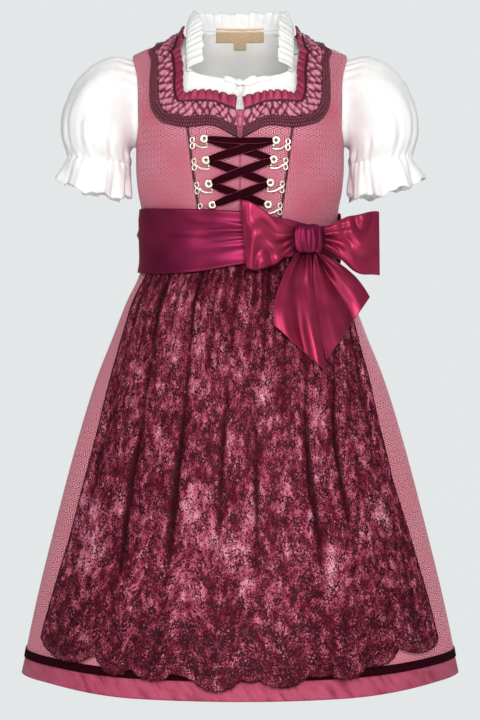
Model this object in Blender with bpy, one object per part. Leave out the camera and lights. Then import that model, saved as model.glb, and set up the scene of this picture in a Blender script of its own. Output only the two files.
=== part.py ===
"""Dirndl set for a child: jacquard dress, white blouse with puff sleeves, lace apron with a satin sash.

Frame: the origin lies between the shoulder straps at their neck ends, +Z up, the front towards -Y.
All tables are in millimetres and are turned into metres when a mesh is made.
The cloth follows one hollow form. A point of the form is named by its angle around the body
(0 front centre, 90 side at +X, 180 back centre) and its height z.
"""
import bpy
import bmesh
from math import asin, cos, degrees, pi, radians, sin
from mathutils import Matrix, Vector

mm = 0.001

# Driving sizes
waist_z = -255.0
hem_z = -775.0
band_z = -752.0
shoulder_tip_z = -36.3
underarm_z = -145.0
seam_gap = 0.3
side_gap_angle = 0.1
bodice_wall = 1.5
skirt_wall = 1.5
blouse_out = -4.1
blouse_shoulder_out = -2.4
blouse_wall = 1.2
blouse_hem_z = -228.0
velvet_height = 9.0
zip_slider_z = -114.5
zip_hinge_z = -116.0

# Hollow form: height, half width, front depth, back depth, roundness (2 is an ellipse)
form_rows = [
    (4, 58, 29, 37, 2.4),
    (0, 65, 32, 40, 2.4),
    (-36, 128.5, 58, 64, 2.6),
    (-60, 126.5, 70, 76, 2.7),
    (-100, 125.5, 84, 84, 2.6),
    (-145, 124.5, 91, 86, 2.4),
    (-175, 124.5, 90, 84, 2.3),
    (-200, 122, 86, 82, 2.2),
    (-217, 118.5, 83, 80, 2.2),
    (-250, 115, 80, 78, 2.1),
    (-280, 116, 84, 82, 2.1),
    (-303, 123, 94, 91, 2.1),
    (-327, 135, 106, 102, 2.1),
    (-375, 154, 124, 118, 2.05),
    (-423, 173, 140, 133, 2),
    (-495, 195, 160, 152, 2),
    (-591, 221, 183, 174, 2),
    (-687, 245, 200, 190, 2),
    (-775, 262, 210, 200, 2),
]

# Neck trims of one half, from front centre over the shoulder to back centre:
# neck edge x, z, outer braid edge x, z, face (-1 front, 0 shoulder line, 1 back)
neck_stations = [
    (5.0, -108, 0.8, -142, -1),
    (30, -98, 30, -125.5, -1),
    (55, -97.5, 62, -129.5, -1),
    (72, -98.5, 92, -121, -1),
    (75.5, -84, 103.5, -104, -1),
    (75.5, -60, 105, -76, -1),
    (74, -30, 105, -48, -1),
    (72, -10, 105, -31, -1),
    (71, -3.4, 105, -22.7, 0),
    (71, -12, 104, -38, 1),
    (70, -22, 100, -50, 1),
    (62, -30, 88, -64, 1),
    (32, -33, 45, -72, 1),
    (0.6, -34, 0.6, -74, 1),
]

# Side panels, shoulder to waist: neck or princess seam x, z, armhole or side angle from the side, z
side_front_rows = [
    (71, -3.4, 0, shoulder_tip_z),
    (71.5, -5.5, 3, -38),
    (72.6, -15, 9.5, -45),
    (74, -30, 14.5, -54),
    (75.5, -60, 19.5, -75),
    (75.5, -84, 20.5, -98),
    (72, -98.5, 18.5, -120),
    (60.7, -130, 11, -137),
    (58.5, -145, side_gap_angle, underarm_z),
    (55.1, -175, side_gap_angle, -176),
    (49, -217, side_gap_angle, -217),
    (44, waist_z + seam_gap, side_gap_angle, waist_z + seam_gap),
]
side_back_rows = [
    (71, -3.4, 0, shoulder_tip_z),
    (71.2, -5.5, 3, -38),
    (71, -14, 8.8, -43.5),
    (70, -22, 14.5, -54),
    (62, -30, 19.5, -75),
    (60, -62, 20.5, -98),
    (57, -95, 18.5, -120),
    (54, -125, 11, -137),
    (52, -145, side_gap_angle, underarm_z),
    (48, -175, side_gap_angle, -176),
    (43, -215, side_gap_angle, -217),
    (40, waist_z + seam_gap, side_gap_angle, waist_z + seam_gap),
]

# Blouse front, shoulder to hem: neck or centre x, z, armhole or side angle from the side, z
blouse_front_rows = [
    (59, 3.4, 0, shoulder_tip_z),
    (59.6, 1.6, 4, -38.5),
    (60, -6, 9.5, -44),
    (60, -20, 12.5, -54),
    (59, -42, 16, -75),
    (57, -60, 17, -92),
    (31, -68, 16, -110),
    (3, -73, 12, -130),
    (0.5, -100, 8, -139),
    (0.5, -130, side_gap_angle, underarm_z),
    (0.5, -180, side_gap_angle, -185),
    (0.5, blouse_hem_z, side_gap_angle, blouse_hem_z),
]
# Blouse back: height and angle from the side of each level
blouse_back_rows = [
    (3.4, 0), (-10, 0), (-22, 0), (shoulder_tip_z, 0), (-42, 8), (-54, 12.5), (-75, 16), (-92, 17),
    (-110, 16), (-130, 12), (underarm_z, side_gap_angle), (-185, side_gap_angle), (blouse_hem_z, side_gap_angle),
]

# Columns of the blouse back as shares across it, closer at the curved sides
blouse_back_columns = [0, 0.035, 0.09, 0.17, 0.27, 0.385, 0.5, 0.615, 0.73, 0.83, 0.91, 0.965, 1]

# Puff sleeve, armhole to frill: under x, z, over x, z, half depth, gather height
sleeve_rings = [
    (120.5, -142.9, 121.3, -42.4, 31.5, 0),
    (128, -143, 129.5, -40.5, 32.5, 0),
    (131, -146, 151, -34, 43, 0.8),
    (132, -149, 177, -46, 54, 1.5),
    (132, -152, 198, -69, 60, 1.2),
    (132, -155, 212, -101, 62, 1.2),
    (132, -158, 213, -129, 57, 1.8),
    (131.5, -165, 206, -154.5, 45, 1.5),
    (131, -170, 208, -159.5, 45, 2.0),
    (131.5, -203, 219, -180, 53, 3.2),
]

# Blouse neck frill, front end to back centre: base x, z, face, then its crest x, y, z
frill_stations = [
    (57, -60, -1, 43, -70, -51),
    (59, -42, -1, 44, -60, -33),
    (60, -20, -1, 45, -40, -9),
    (60, -3, -1, 47, -20, 11),
    (59, 3.4, 0, 52, 2, 20),
    (52, 3.4, 1, 60, 26, 23),
    (33, 3.4, 1, 36, 40, 24),
    (0, 3.4, 1, 0, 43, 24.5),
]

# Apron side edges and lower edge: height, angle at -X, angle at +X
apron_rows = [
    (-270, -70, 70),
    (-293, -69, 69),
    (-335, -71, 68),
    (-397, -64.5, 63.5),
    (-475, -61.5, 60.8),
    (-560, -61.5, 61.5),
    (-645, -63, 63.5),
    (-745, -66, 66),
]
apron_gathers = 12
apron_scallops = 11

# Metal lacing hooks, one pair a row: x and z at -X, x and z at +X
hook_rows = [
    (-41.0, -143.0, 41.3, -144.8),
    (-39.0, -167.6, 38.7, -166.8),
    (-35.9, -194.5, 34.8, -193.3),
    (-31.8, -219.0, 32.2, -218.5),
]
# Outline of a hook around its eyelet: radius every 30 degrees from the centre front side, counterclockwise
hook_outline = [4.6, 4.4, 4.6, 5.2, 7.5, 12.2, 8.4, 12.2, 7.5, 9.0, 6.6, 4.8]
hook_hole = 2.5
hook_plate = 1.2

# Bow loops: x, top z, bottom z, half thickness
left_loop_rows = [
    (62.1, -244, -270, 2.2),
    (47, -235, -284, 9),
    (28, -224, -294, 14),
    (9, -216.5, -291, 11),
    (0, -218, -285, 2),
]
right_loop_rows = [
    (96.8, -246, -268, 2.2),
    (114, -238, -283, 9),
    (133, -230, -294, 14),
    (154, -224, -297, 11),
    (165, -226, -294, 2),
]
bow_centre = Vector((79.5, -84.1, -257.5))
bow_slope = 0.36

# Bow tails from the knot down: left x, y, z, right x, y, z
left_tail_rows = [
    (66, -86, -275, 83, -81, -275),
    (52, -103, -298, 85, -94, -308),
    (42, -117, -320, 90, -108, -343),
    (38, -126, -340, 95, -118, -379),
    (39, -131, -359, 100.7, -125, -414),
]
right_tail_rows = [
    (85, -81, -275.2, 93, -77, -275.2),
    (84, -88, -302, 119, -68, -288),
    (86, -99, -332, 136, -60, -302),
    (91, -110, -364, 146, -56, -315),
    (99, -117, -398, 152, -56, -325),
]


def colour_of(code):
    """Linear colour of a six-digit hex code."""
    parts = [int(code[i:i + 2], 16) / 255 for i in (0, 2, 4)]
    return [c / 12.92 if c <= 0.04045 else ((c + 0.055) / 1.055) ** 2.4 for c in parts] + [1]


def make_material(name, code, roughness, metallic=0.0):
    material = bpy.data.materials.new(name)
    material.use_nodes = True
    shader = material.node_tree.nodes["Principled BSDF"]
    shader.inputs["Base Color"].default_value = colour_of(code)
    shader.inputs["Roughness"].default_value = roughness
    shader.inputs["Metallic"].default_value = metallic
    return material


def mix(a, b, share):
    return a + (b - a) * share


def smooth(share):
    share = min(max(share, 0.0), 1.0)
    return share * share * (3 - 2 * share)


def slope_at(i, column):
    """Slope of a form column at a row, level at the ends and at the shoulder tip."""
    if i <= 2 or i >= len(form_rows) - 1:
        return (form_rows[-1][column] - form_rows[-2][column]) / (form_rows[-1][0] - form_rows[-2][0]) if i > 2 else 0
    above, below = form_rows[i - 1], form_rows[i + 1]
    return (above[column] - below[column]) / (above[0] - below[0])


def form_at(z):
    """Half width, front depth, back depth and roundness: straight on the shoulder, smooth below it."""
    z = min(max(z, form_rows[-1][0]), form_rows[0][0])
    i = next(k for k in range(1, len(form_rows)) if z >= form_rows[k][0])
    upper, lower = form_rows[i - 1], form_rows[i]
    drop = lower[0] - upper[0]
    s = (z - upper[0]) / drop
    if i <= 2:
        return tuple(mix(a, b, s) for a, b in zip(upper[1:], lower[1:]))
    values = []
    for column in range(1, 5):
        start, end = slope_at(i - 1, column) * drop, slope_at(i, column) * drop
        values.append((2 * s ** 3 - 3 * s ** 2 + 1) * upper[column] + (s ** 3 - 2 * s ** 2 + s) * start
                      + (3 * s ** 2 - 2 * s ** 3) * lower[column] + (s ** 3 - s ** 2) * end)
    return tuple(values)


def form_point(angle, z):
    half, front, back, roundness = form_at(z)
    s, c = sin(radians(angle)), cos(radians(angle))
    power = 2 / roundness
    x = half * abs(s) ** power * (1 if s >= 0 else -1)
    depth = front if c >= 0 else back
    return Vector((x, -depth * abs(c) ** power * (1 if c >= 0 else -1), z))


def form_normal(angle, z):
    """Outward direction of the form, by differences kept off its corners."""
    step = 0.5
    around = form_point(angle + step, z) - form_point(angle - step, z)
    down = form_point(angle, min(z + 1, 4)) - form_point(angle, z - 1)
    return around.cross(down).normalized()


def on_form(angle, z, out=0.0):
    return form_point(angle, z) + form_normal(angle, z) * out


def angle_of(x, z, face):
    """Angle of the form's point at a given x; face is -1 front, 0 shoulder line, 1 back."""
    half, _, _, roundness = form_at(z)
    side = -1 if x < 0 else 1
    lean = degrees(asin(min(abs(x) / half, 1) ** (roundness / 2)))
    return side * (90 if face == 0 else lean if face < 0 else 180 - lean)


def resample(points, count):
    """Points spread evenly along a line of points, each a tuple of numbers."""
    lengths = [0.0]
    for a, b in zip(points, points[1:]):
        lengths.append(lengths[-1] + sum((p - q) ** 2 for p, q in zip(a, b)) ** 0.5)
    spread = []
    for k in range(count):
        target = lengths[-1] * k / (count - 1)
        i = max(j for j in range(len(points) - 1) if lengths[j] <= target + 1e-9)
        share = (target - lengths[i]) / (lengths[i + 1] - lengths[i])
        spread.append(tuple(mix(p, q, share) for p, q in zip(points[i], points[i + 1])))
    return spread


def add_solid(name, points, faces, material, is_smooth=True):
    """One closed object from points in millimetres, its faces turned outwards."""
    mesh = bpy.data.meshes.new(name)
    mesh.from_pydata([tuple(p * mm) for p in points], [], faces)
    shape = bmesh.new()
    shape.from_mesh(mesh)
    bmesh.ops.recalc_face_normals(shape, faces=shape.faces)
    bmesh.ops.triangulate(shape, faces=shape.faces, quad_method="FIXED")
    shape.to_mesh(mesh)
    shape.free()
    mesh.materials.append(material)
    if is_smooth:
        mesh.shade_smooth()
        mesh.set_sharp_from_angle(angle=radians(50))
    obj = bpy.data.objects.new(name, mesh)
    bpy.context.scene.collection.objects.link(obj)
    return obj


def sheet(name, outer, inner, material, closed=False):
    """A wall between two equal grids of points; closed joins the last column to the first.

    Both faces of the wall are split along the same diagonal, so a twisted wall keeps its thickness.
    """
    rows, cols = len(outer), len(outer[0])
    points = [p for row in outer for p in row] + [p for row in inner for p in row]
    under = rows * cols
    faces = []
    for r in range(rows - 1):
        for c in range(cols if closed else cols - 1):
            n = (c + 1) % cols
            quad = [r * cols + c, r * cols + n, (r + 1) * cols + n, (r + 1) * cols + c]
            faces.append(quad)
            faces.append([under + quad[i] for i in (0, 3, 2, 1)])
    for r in (0, rows - 1):
        for c in range(cols if closed else cols - 1):
            a, b = r * cols + c, r * cols + (c + 1) % cols
            faces.append([a, under + a, under + b, b])
    if not closed:
        for r in range(rows - 1):
            for c in (0, cols - 1):
                a, b = r * cols + c, (r + 1) * cols + c
                faces.append([a, b, under + b, under + a])
    return add_solid(name, points, faces, material)


def form_sheet(name, grid, wall, material):
    """A wall on the form from a grid of (angle, z, out), where out is the outer face."""
    outer = [[on_form(a, z, out) for a, z, out in row] for row in grid]
    inner = [[on_form(a, z, out - wall) for a, z, out in row] for row in grid]
    return sheet(name, outer, inner, material)


def strip_grid(edge_a, edge_b, columns, out=0.0):
    """Rows of (angle, z, out) between two edges that have equal numbers of (angle, z)."""
    grid = []
    for (a0, z0), (a1, z1) in zip(edge_a, edge_b):
        grid.append([(mix(a0, a1, c / columns), mix(z0, z1, c / columns), out) for c in range(columns + 1)])
    return grid


def mirrored(grid, side):
    return [[(a * side, z, out) for a, z, out in row] for row in grid]


def tube(name, centres, sideways, radius, sides, material):
    """A round cord along points, with flat ends; sideways is a direction across it at each point."""
    points = []
    for i, centre in enumerate(centres):
        ahead = centres[min(i + 1, len(centres) - 1)] - centres[max(i - 1, 0)]
        up = ahead.cross(sideways[i]).normalized()
        across = up.cross(ahead).normalized()
        for k in range(sides):
            turn = 2 * pi * k / sides
            points.append(centre + (across * cos(turn) + up * sin(turn)) * radius)
    faces = []
    for i in range(len(centres) - 1):
        for k in range(sides):
            n = (k + 1) % sides
            faces.append([i * sides + k, i * sides + n, (i + 1) * sides + n, (i + 1) * sides + k])
    faces.append(list(range(sides)))
    faces.append([len(points) - 1 - k for k in range(sides)])
    return add_solid(name, points, faces, material)


def side_panel(name, rows, face, side, material):
    """Strap, armhole and side seam in one panel, from the princess seam outwards."""
    seam = seam_gap * 2
    inner_edge, outer_edge = [], []
    for i, (x, z, lean, edge_z) in enumerate(rows):
        shoulder_gap = 0.25 if i == 0 else 0
        shift = seam if i >= (6 if face < 0 else 4) else 0
        near = 90 if i == 0 else angle_of(x + shift, z, -1)
        far = 90 - max(lean, shoulder_gap)
        near = min(near, 90 - shoulder_gap)
        if face > 0:
            near, far = 180 - near, 180 - far
        inner_edge.append((near, z))
        outer_edge.append((far, edge_z))
    return form_sheet(name, mirrored(strip_grid(inner_edge, outer_edge, 5), side), bodice_wall, material)


def centre_front(name, side, material):
    """Panel between the closure and the princess seam, under the sweetheart neck."""
    top = [(angle_of(x, z, -1), z) for x, z, _, _, _ in neck_stations[:4]]
    seam = [(angle_of(x - seam_gap * 2, z, -1), z) for x, z, _, _ in side_front_rows[6:]]
    levels = resample([(0, top[0][1]), (0, waist_z + seam_gap)], len(seam))
    columns = resample(top, 5)
    grid = []
    for r, (seam_angle, seam_z) in enumerate(seam):
        share = r / (len(seam) - 1)
        row = []
        for c, (top_angle, top_z) in enumerate(columns):
            across = c / (len(columns) - 1)
            straight_z = mix(top[0][1], top[-1][1], across)
            z = mix(levels[r][1], seam_z, across) + (top_z - straight_z) * (1 - share) ** 2
            ruled = mix(angle_of(0.5, z, -1), seam_angle, across)
            row.append((ruled if r else min(top_angle, seam_angle), z, 0.0))
        grid.append(row)
    return form_sheet(name, mirrored(grid, side), bodice_wall, material)


def centre_back(name, material):
    """One panel across the back between its two princess seams."""
    rows = [(x - seam_gap * 2, z) for x, z, _, _ in side_back_rows[4:]]
    dips = [-4, -2.5, -1] + [0] * len(rows)
    grid = []
    for (x, z), dip in zip(rows, dips):
        edge = angle_of(x, z, 1)
        row = []
        for c in range(9):
            across = c / 4 - 1
            row.append((180 + (180 - edge) * across, z + dip * (1 - across * across), 0.0))
        grid.append(row)
    return form_sheet(name, grid, bodice_wall, material)


def neck_line(share, samples):
    """Evenly spaced (angle, z) along the neck trims at a share of the way to the braid's outer edge."""
    stations = []
    for neck_x, neck_z, outer_x, outer_z, face in neck_stations:
        neck, outer = angle_of(neck_x, neck_z, face), angle_of(outer_x, outer_z, face)
        stations.append((mix(neck, outer, share), mix(neck_z, outer_z, share)))
    line = []
    for k in range(samples):
        place = (len(stations) - 1) * k / (samples - 1)
        i = min(int(place), len(stations) - 2)
        line.append(tuple(mix(p, q, place - i) for p, q in zip(stations[i], stations[i + 1])))
    return line


def neck_trim(name, side, start, end, lifts, wall, samples, material, skip=0, wave=None):
    """A band along the neck between two shares; lifts are its outer heights across the band."""
    grid = []
    strips = len(lifts) - 1
    lines = [neck_line(mix(start, end, c / strips), samples) for c in range(strips + 1)]
    for k in range(skip, samples):
        row = []
        for c, lift in enumerate(lifts):
            angle, z = lines[c][k]
            row.append((angle, z, lift + (wave(k, c) if wave else 0)))
        grid.append(row)
    return form_sheet(name, mirrored(grid, side), wall, material)


def ruching_fold(sample, column):
    """Extra height on the middle line of the ruching at every second sample."""
    return 1.5 * (sample % 2) if column == 1 else 0


def neck_ruffle(name, side, material):
    """Satin frill standing in from the neck edge, gathered along it."""
    samples, per_wave, depth, wall = 70, 3, 10.0, 0.9
    line = [on_form(a, z, 1.6) for a, z in neck_line(0.0, samples)]
    inward = [on_form(a, z, 1.6) for a, z in neck_line(-0.34, samples)]
    normals = [form_normal(a, z) for a, z in neck_line(0.0, samples)]
    outer, inner = [], []
    for k in range(samples):
        edge = inward[k] - line[k]
        reach = edge.normalized() * min(depth, edge.length)
        ripple = sin(2 * pi * k / per_wave)
        crest = line[k] + reach + normals[k] * (3.4 + 1.7 * ripple)
        outer.append([line[k] + normals[k] * 1.2, crest])
        inner.append([line[k] + normals[k] * (1.2 - wall), crest - normals[k] * wall])
    for row in outer + inner:
        for i in range(len(row)):
            row[i] = Vector((row[i].x * side, row[i].y, row[i].z))
    return sheet(name, outer, inner, material)


def princess_piping(name, side, material):
    rows = side_front_rows[7:]
    centres, across = [], []
    for (x0, z0, _, _), (x1, z1, _, _) in zip(rows, rows[1:]):
        for half_step in (0, 0.5):
            x, z = mix(x0, x1, half_step), mix(z0, z1, half_step)
            angle = angle_of(x, z, -1) * side
            centres.append(on_form(angle, z, 1.6))
            across.append(form_normal(angle, z))
    return tube(name, centres[1:-1], across[1:-1], 1.1, 5, material)


def skirt_out(angle, z):
    """Outward push of the skirt's folds: soft at the front, ten pleats at the back."""
    lean = abs((angle + 180) % 360 - 180)
    fall = smooth((waist_z - z) / 240)
    behind = smooth((lean - 96) / 22)
    pleats = 0.5 - 0.5 * cos(radians((lean - 90) * 20))
    ripple = 0.5 - 0.5 * cos(radians((lean - 66) * 15)) if lean > 66 else 0
    return behind * pleats * mix(0.4, 11.0, fall) + (1 - behind) * ripple * 2.5 * fall


def skirt_grid(angles, levels, out=0.0):
    return [[(a, z, out + skirt_out(a, z)) for a in angles] for z in levels]


def skirt_pieces(front, angles, materials):
    """Skirt panel, its hem band and the velvet ribbon over their seam, on one set of angles."""
    place = "front" if front else "back"
    levels = [waist_z - seam_gap, -276, -300, -330, -380, -450, -540, -645, band_z + seam_gap]
    form_sheet("skirt_" + place, skirt_grid(angles, levels), skirt_wall, materials["jacquard"])
    hem_levels = [band_z - seam_gap, hem_z]
    form_sheet("hem_band_" + place, skirt_grid(angles, hem_levels), skirt_wall, materials["taffeta"])
    ribbon = [band_z + velvet_height - 1, band_z - 1]
    form_sheet("velvet_hem_" + place, skirt_grid(angles, ribbon, 1.5), 1.1, materials["velvet"])


def apron_panel(material):
    """Lace panel with soft gathers below the sash and a scalloped lower edge."""
    columns = 44
    grid = []
    for r, (z, left, right) in enumerate(apron_rows):
        fall = (apron_rows[0][0] - z) / (apron_rows[0][0] - apron_rows[-1][0])
        row = []
        for c in range(columns + 1):
            across = c / columns
            angle = mix(left, right, across)
            phase = apron_gathers * 2 * pi * (across + 0.012 * sin(7 * across))
            height = 1.4 if r < 2 else mix(5.0, 3.2, fall)
            level = z
            if r == len(apron_rows) - 1:
                middle = 1 - (2 * across - 1) ** 2
                scallop = abs(sin(pi * apron_scallops * across))
                level = -732 - 22 * middle - 8 * scallop
            row.append((angle, level, 2.4 + fall * 1.6 + height * (0.5 - 0.5 * cos(phase))))
        grid.append(row)
    return form_sheet("apron", grid, 1.0, material)


def sash_sheet(name, start, end, columns, material):
    """Stretch of the satin sash with folds that draw together towards the knot."""
    knot_angle = 42
    grid = []
    strips = 6
    for c in range(columns + 1):
        angle = mix(start, end, c / columns)
        near = smooth(1 - abs(angle - knot_angle) / 60) if abs(angle) < 110 else 0
        top = mix(-217.5, -232, near)
        bottom = mix(-292.5, -279, near)
        over_apron = smooth((88 - abs(angle)) / 14)
        over_lacing = smooth((60 - abs(angle)) / 25)
        row = []
        for s in range(strips + 1):
            down = s / strips
            fold = 1.0 * cos(pi * s) * (0.5 + 0.5 * over_lacing)
            row.append((angle, mix(top, bottom, down), 4.6 + 3.0 * over_apron + 2.2 * over_lacing + fold))
        grid.append(row)
    return form_sheet(name, grid, 1.3, material)


def sleeve(name, side, material):
    """Puff sleeve with an elastic hem and its frill, as rings that fan out from the underarm."""
    columns, waves, wall = 30, 10, 1.2
    outer, inner = [], []
    for under_x, under_z, over_x, over_z, depth, gather in sleeve_rings:
        under, over = Vector((under_x, 0, under_z)), Vector((over_x, 0, over_z))
        centre, reach = (under + over) / 2, (over - under) / 2
        outer_row, inner_row = [], []
        for c in range(columns):
            turn = 2 * pi * c / columns
            direction = reach.normalized() * cos(turn) + Vector((0, sin(turn), 0))
            ripple = gather * sin(waves * turn)
            point = centre + reach * cos(turn) + Vector((0, depth * sin(turn), 0)) + direction * ripple
            outer_row.append(Vector((point.x * side, point.y, point.z)))
            point = point - direction * wall
            inner_row.append(Vector((point.x * side, point.y, point.z)))
        outer.append(outer_row)
        inner.append(inner_row)
    return sheet(name, outer, inner, material, closed=True)


def blouse_face(z):
    """Height of the blouse's outer face on the form: inside the dress, deeper at the shoulder."""
    return blouse_out + blouse_shoulder_out * smooth((z + 80) / 30)


def blouse_front(name, side, material):
    near = [(angle_of(x, z, -1) if i else 89.75, z) for i, (x, z, _, _) in enumerate(blouse_front_rows)]
    far = [(90 - max(lean, 0.25 if i == 0 else 0), z) for i, (_, _, lean, z) in enumerate(blouse_front_rows)]
    grid = [[(a, z, blouse_face(z)) for a, z, _ in row] for row in strip_grid(near, far, 6)]
    return form_sheet(name, mirrored(grid, side), blouse_wall, material)


def blouse_back(material):
    grid = []
    for z, lean in blouse_back_rows:
        edge = 90 + max(lean, 0.25)
        grid.append([(mix(edge, 360 - edge, c), z, blouse_face(z)) for c in blouse_back_columns])
    return form_sheet("blouse_back", grid, blouse_wall, material)


def blouse_frill(material):
    """Gathered neck frill, from one front corner round the back to the other."""
    half = []
    for x, z, face, crest_x, crest_y, crest_z in frill_stations:
        base = on_form(angle_of(x, z, face), z, blouse_face(z) + 1.6)
        half.append(tuple(base) + (crest_x, crest_y, crest_z))
    whole = [(-p[0], p[1], p[2], -p[3], p[4], p[5]) for p in half] + half[-2::-1]
    samples, per_wave, wall = 93, 4, 1.0
    line = resample(whole, samples)
    outer, inner = [], []
    for k, p in enumerate(line):
        base, crest = Vector(p[:3]), Vector(p[3:])
        ahead = Vector(line[min(k + 1, samples - 1)][:3]) - Vector(line[max(k - 1, 0)][:3])
        normal = ahead.cross(crest - base).normalized()
        ripple = sin(2 * pi * k / per_wave)
        foot = base + (crest - base).normalized() * 0.8
        outer.append([foot + normal * (0.5 * ripple), crest + normal * (3.0 * ripple)])
        inner.append([foot + normal * (0.5 * ripple - wall), crest + normal * (3.0 * ripple - wall)])
    return sheet("blouse_frill", outer, inner, material)


def blouse_tie(material):
    """Small tied bow at the neck: rings of an ellipse along x, thin at the knot."""
    # x, centre z, half height, half thickness
    rings = [(-18, -70.5, 2.5, 0.8), (-12, -71, 5, 2), (-5, -74, 2.6, 1.4), (-1.5, -75, 3.6, 2.2),
             (2, -75, 2.6, 1.4), (14, -76.5, 5, 2), (27, -79, 4, 1.4), (37, -81, 3, 0.8)]
    sides = 8
    outer = []
    for x, z, half_height, half_thick in rings:
        centre = on_form(angle_of(x, z, -1), z, blouse_face(z) + half_thick + 0.6)
        outer.append([centre + Vector((0, half_thick * cos(2 * pi * k / sides), half_height * sin(2 * pi * k / sides)))
                      for k in range(sides)])
    points = [p for ring in outer for p in ring]
    faces = []
    for i in range(len(rings) - 1):
        for k in range(sides):
            n = (k + 1) % sides
            faces.append([i * sides + k, i * sides + n, (i + 1) * sides + n, (i + 1) * sides + k])
    faces.append(list(range(sides)))
    faces.append([len(points) - 1 - k for k in range(sides)])
    return add_solid("blouse_tie", points, faces, material)


def placed_at(obj, angle, z, out):
    """Put an object on the form with its own +Z pointing outwards and its +Y upwards."""
    normal = form_normal(angle, z)
    sideways = Vector((0, 0, 1)).cross(normal).normalized()
    upward = normal.cross(sideways)
    turn = Matrix((sideways, upward, normal)).transposed().to_4x4()
    obj.matrix_world = Matrix.Translation(on_form(angle, z, out) * mm) @ turn
    return obj


def disc(name, radius, thickness, segments, material):
    points = []
    for z in (0, thickness):
        points += [Vector((radius * cos(2 * pi * k / segments), radius * sin(2 * pi * k / segments), z))
                   for k in range(segments)]
    faces = [list(range(segments)), list(range(2 * segments - 1, segments - 1, -1))]
    for k in range(segments):
        n = (k + 1) % segments
        faces.append([k, n, segments + n, segments + k])
    return add_solid(name, points, faces, material, is_smooth=False)


def block(name, size, offset, material):
    """A box with its size and the offset of its centre."""
    points = []
    for z in (-0.5, 0.5):
        for x, y in ((-0.5, -0.5), (0.5, -0.5), (0.5, 0.5), (-0.5, 0.5)):
            points.append(Vector((x * size[0], y * size[1], z * size[2])) + Vector(offset))
    faces = [[0, 3, 2, 1], [4, 5, 6, 7], [0, 1, 5, 4], [1, 2, 6, 5], [2, 3, 7, 6], [3, 0, 4, 7]]
    return add_solid(name, points, faces, material, is_smooth=False)


def lacing_hook(name, side, x, z, material):
    """Flat eyelet plate with two outboard ears and a leaf below."""
    count = len(hook_outline)
    outer, inner = [], []
    for height in (0, hook_plate):
        ring_out, ring_in = [], []
        for k, radius in enumerate(hook_outline):
            turn = 2 * pi * k / count
            ring_out.append(Vector((-side * radius * cos(turn), radius * sin(turn), height)))
            ring_in.append(Vector((-side * hook_hole * cos(turn), hook_hole * sin(turn), height)))
        outer.append(ring_out)
        inner.append(ring_in)
    obj = sheet(name, outer, inner, material, closed=True)
    angle = angle_of(x, z, -1)
    return placed_at(obj, angle, z, 0.6)


def lacing_stretch(name, start, end, out, rise, material, steps=8):
    """Flat velvet ribbon between two eyelets; rise lifts its middle upwards as an arch."""
    width, wall = 7.6, 0.8
    across = Vector((-(end[1] - start[1]), 0, end[0] - start[0])).normalized() * width / 2
    outer, inner = [], []
    for k in range(steps + 1):
        share = k / steps
        x = mix(start[0], end[0], share)
        z = mix(start[1], end[1], share) + rise * sin(pi * share)
        row_out, row_in = [], []
        for half in (-1, 1):
            px, pz = x + half * across.x, z + half * across.z
            angle = angle_of(px, pz, -1)
            row_out.append(on_form(angle, pz, out + wall))
            row_in.append(on_form(angle, pz, out))
        outer.append(row_out)
        inner.append(row_in)
    return sheet(name, outer, inner, material)


def bow_loop(name, rows, material):
    """Ribbon that goes out from the knot in front and comes back behind, open above and below."""
    strips, wall = 5, 1.0
    path = [(x, top, bottom, half, 1) for x, top, bottom, half in rows]
    path += [(x, top, bottom, half, -1) for x, top, bottom, half in reversed(rows)]
    far = rows[-1][0]
    length = abs(far - rows[0][0])
    outer, inner = [], []
    for x, top, bottom, half, layer in path:
        inset = 0 if x != far else wall if rows[0][0] > far else -wall
        plane_y = bow_centre.y + bow_slope * (x - bow_centre.x)
        near = 1 - abs(x - rows[0][0]) / length
        row_out, row_in = [], []
        for s in range(strips + 1):
            down = s / strips
            fold = 1.6 * near * cos(pi * s) if half > 2.5 else 0
            belly = (half - 2) * (0.55 + 0.45 * sin(pi * down)) * (1.0 if layer > 0 else 0.4) + 2
            y = plane_y - layer * belly - fold
            z = mix(top, bottom, down)
            row_out.append(Vector((x, y, z)))
            row_in.append(Vector((x + inset, y + layer * wall, z)))
        outer.append(row_out)
        inner.append(row_in)
    return sheet(name, outer, inner, material)


def bow_knot(material):
    """Gathered knot: a soft barrel with upright ridges."""
    levels = [(-274.6, 0.72), (-268, 0.95), (-258, 1.0), (-248, 0.95), (-241.5, 0.72)]
    columns = 16
    points = []
    for z, size in levels:
        for c in range(columns):
            turn = 2 * pi * c / columns
            ridge = 1 + 0.07 * cos(8 * turn + pi)
            x = 17.6 * size * ridge * cos(turn)
            y = 11 * size * ridge * sin(turn)
            points.append(Vector((bow_centre.x + x, bow_centre.y + bow_slope * x + y, z)))
    faces = []
    for r in range(len(levels) - 1):
        for c in range(columns):
            n = (c + 1) % columns
            faces.append([r * columns + c, r * columns + n, (r + 1) * columns + n, (r + 1) * columns + c])
    faces.append(list(range(columns)))
    faces.append([len(points) - 1 - k for k in range(columns)])
    return add_solid("bow_knot", points, faces, material)


def bow_tail(name, rows, folds, material):
    """Loose end of the sash: wide below, pleated where it leaves the knot."""
    columns, wall = 8, 1.2
    levels = resample([tuple(row) for row in rows], 8)
    outer, inner = [], []
    for r, row in enumerate(levels):
        left, right = Vector(row[:3]), Vector(row[3:])
        height = mix(1.6, 3.0, r / (len(levels) - 1))
        row_out, row_in = [], []
        for c in range(columns + 1):
            across = c / columns
            y = -height * sin(2 * pi * folds * across) * sin(pi * across)
            point = left.lerp(right, across) + Vector((0, y, 0))
            row_out.append(point)
            row_in.append(point + Vector((0, wall, 0)))
        outer.append(row_out)
        inner.append(row_in)
    return sheet(name, outer, inner, material)


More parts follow.
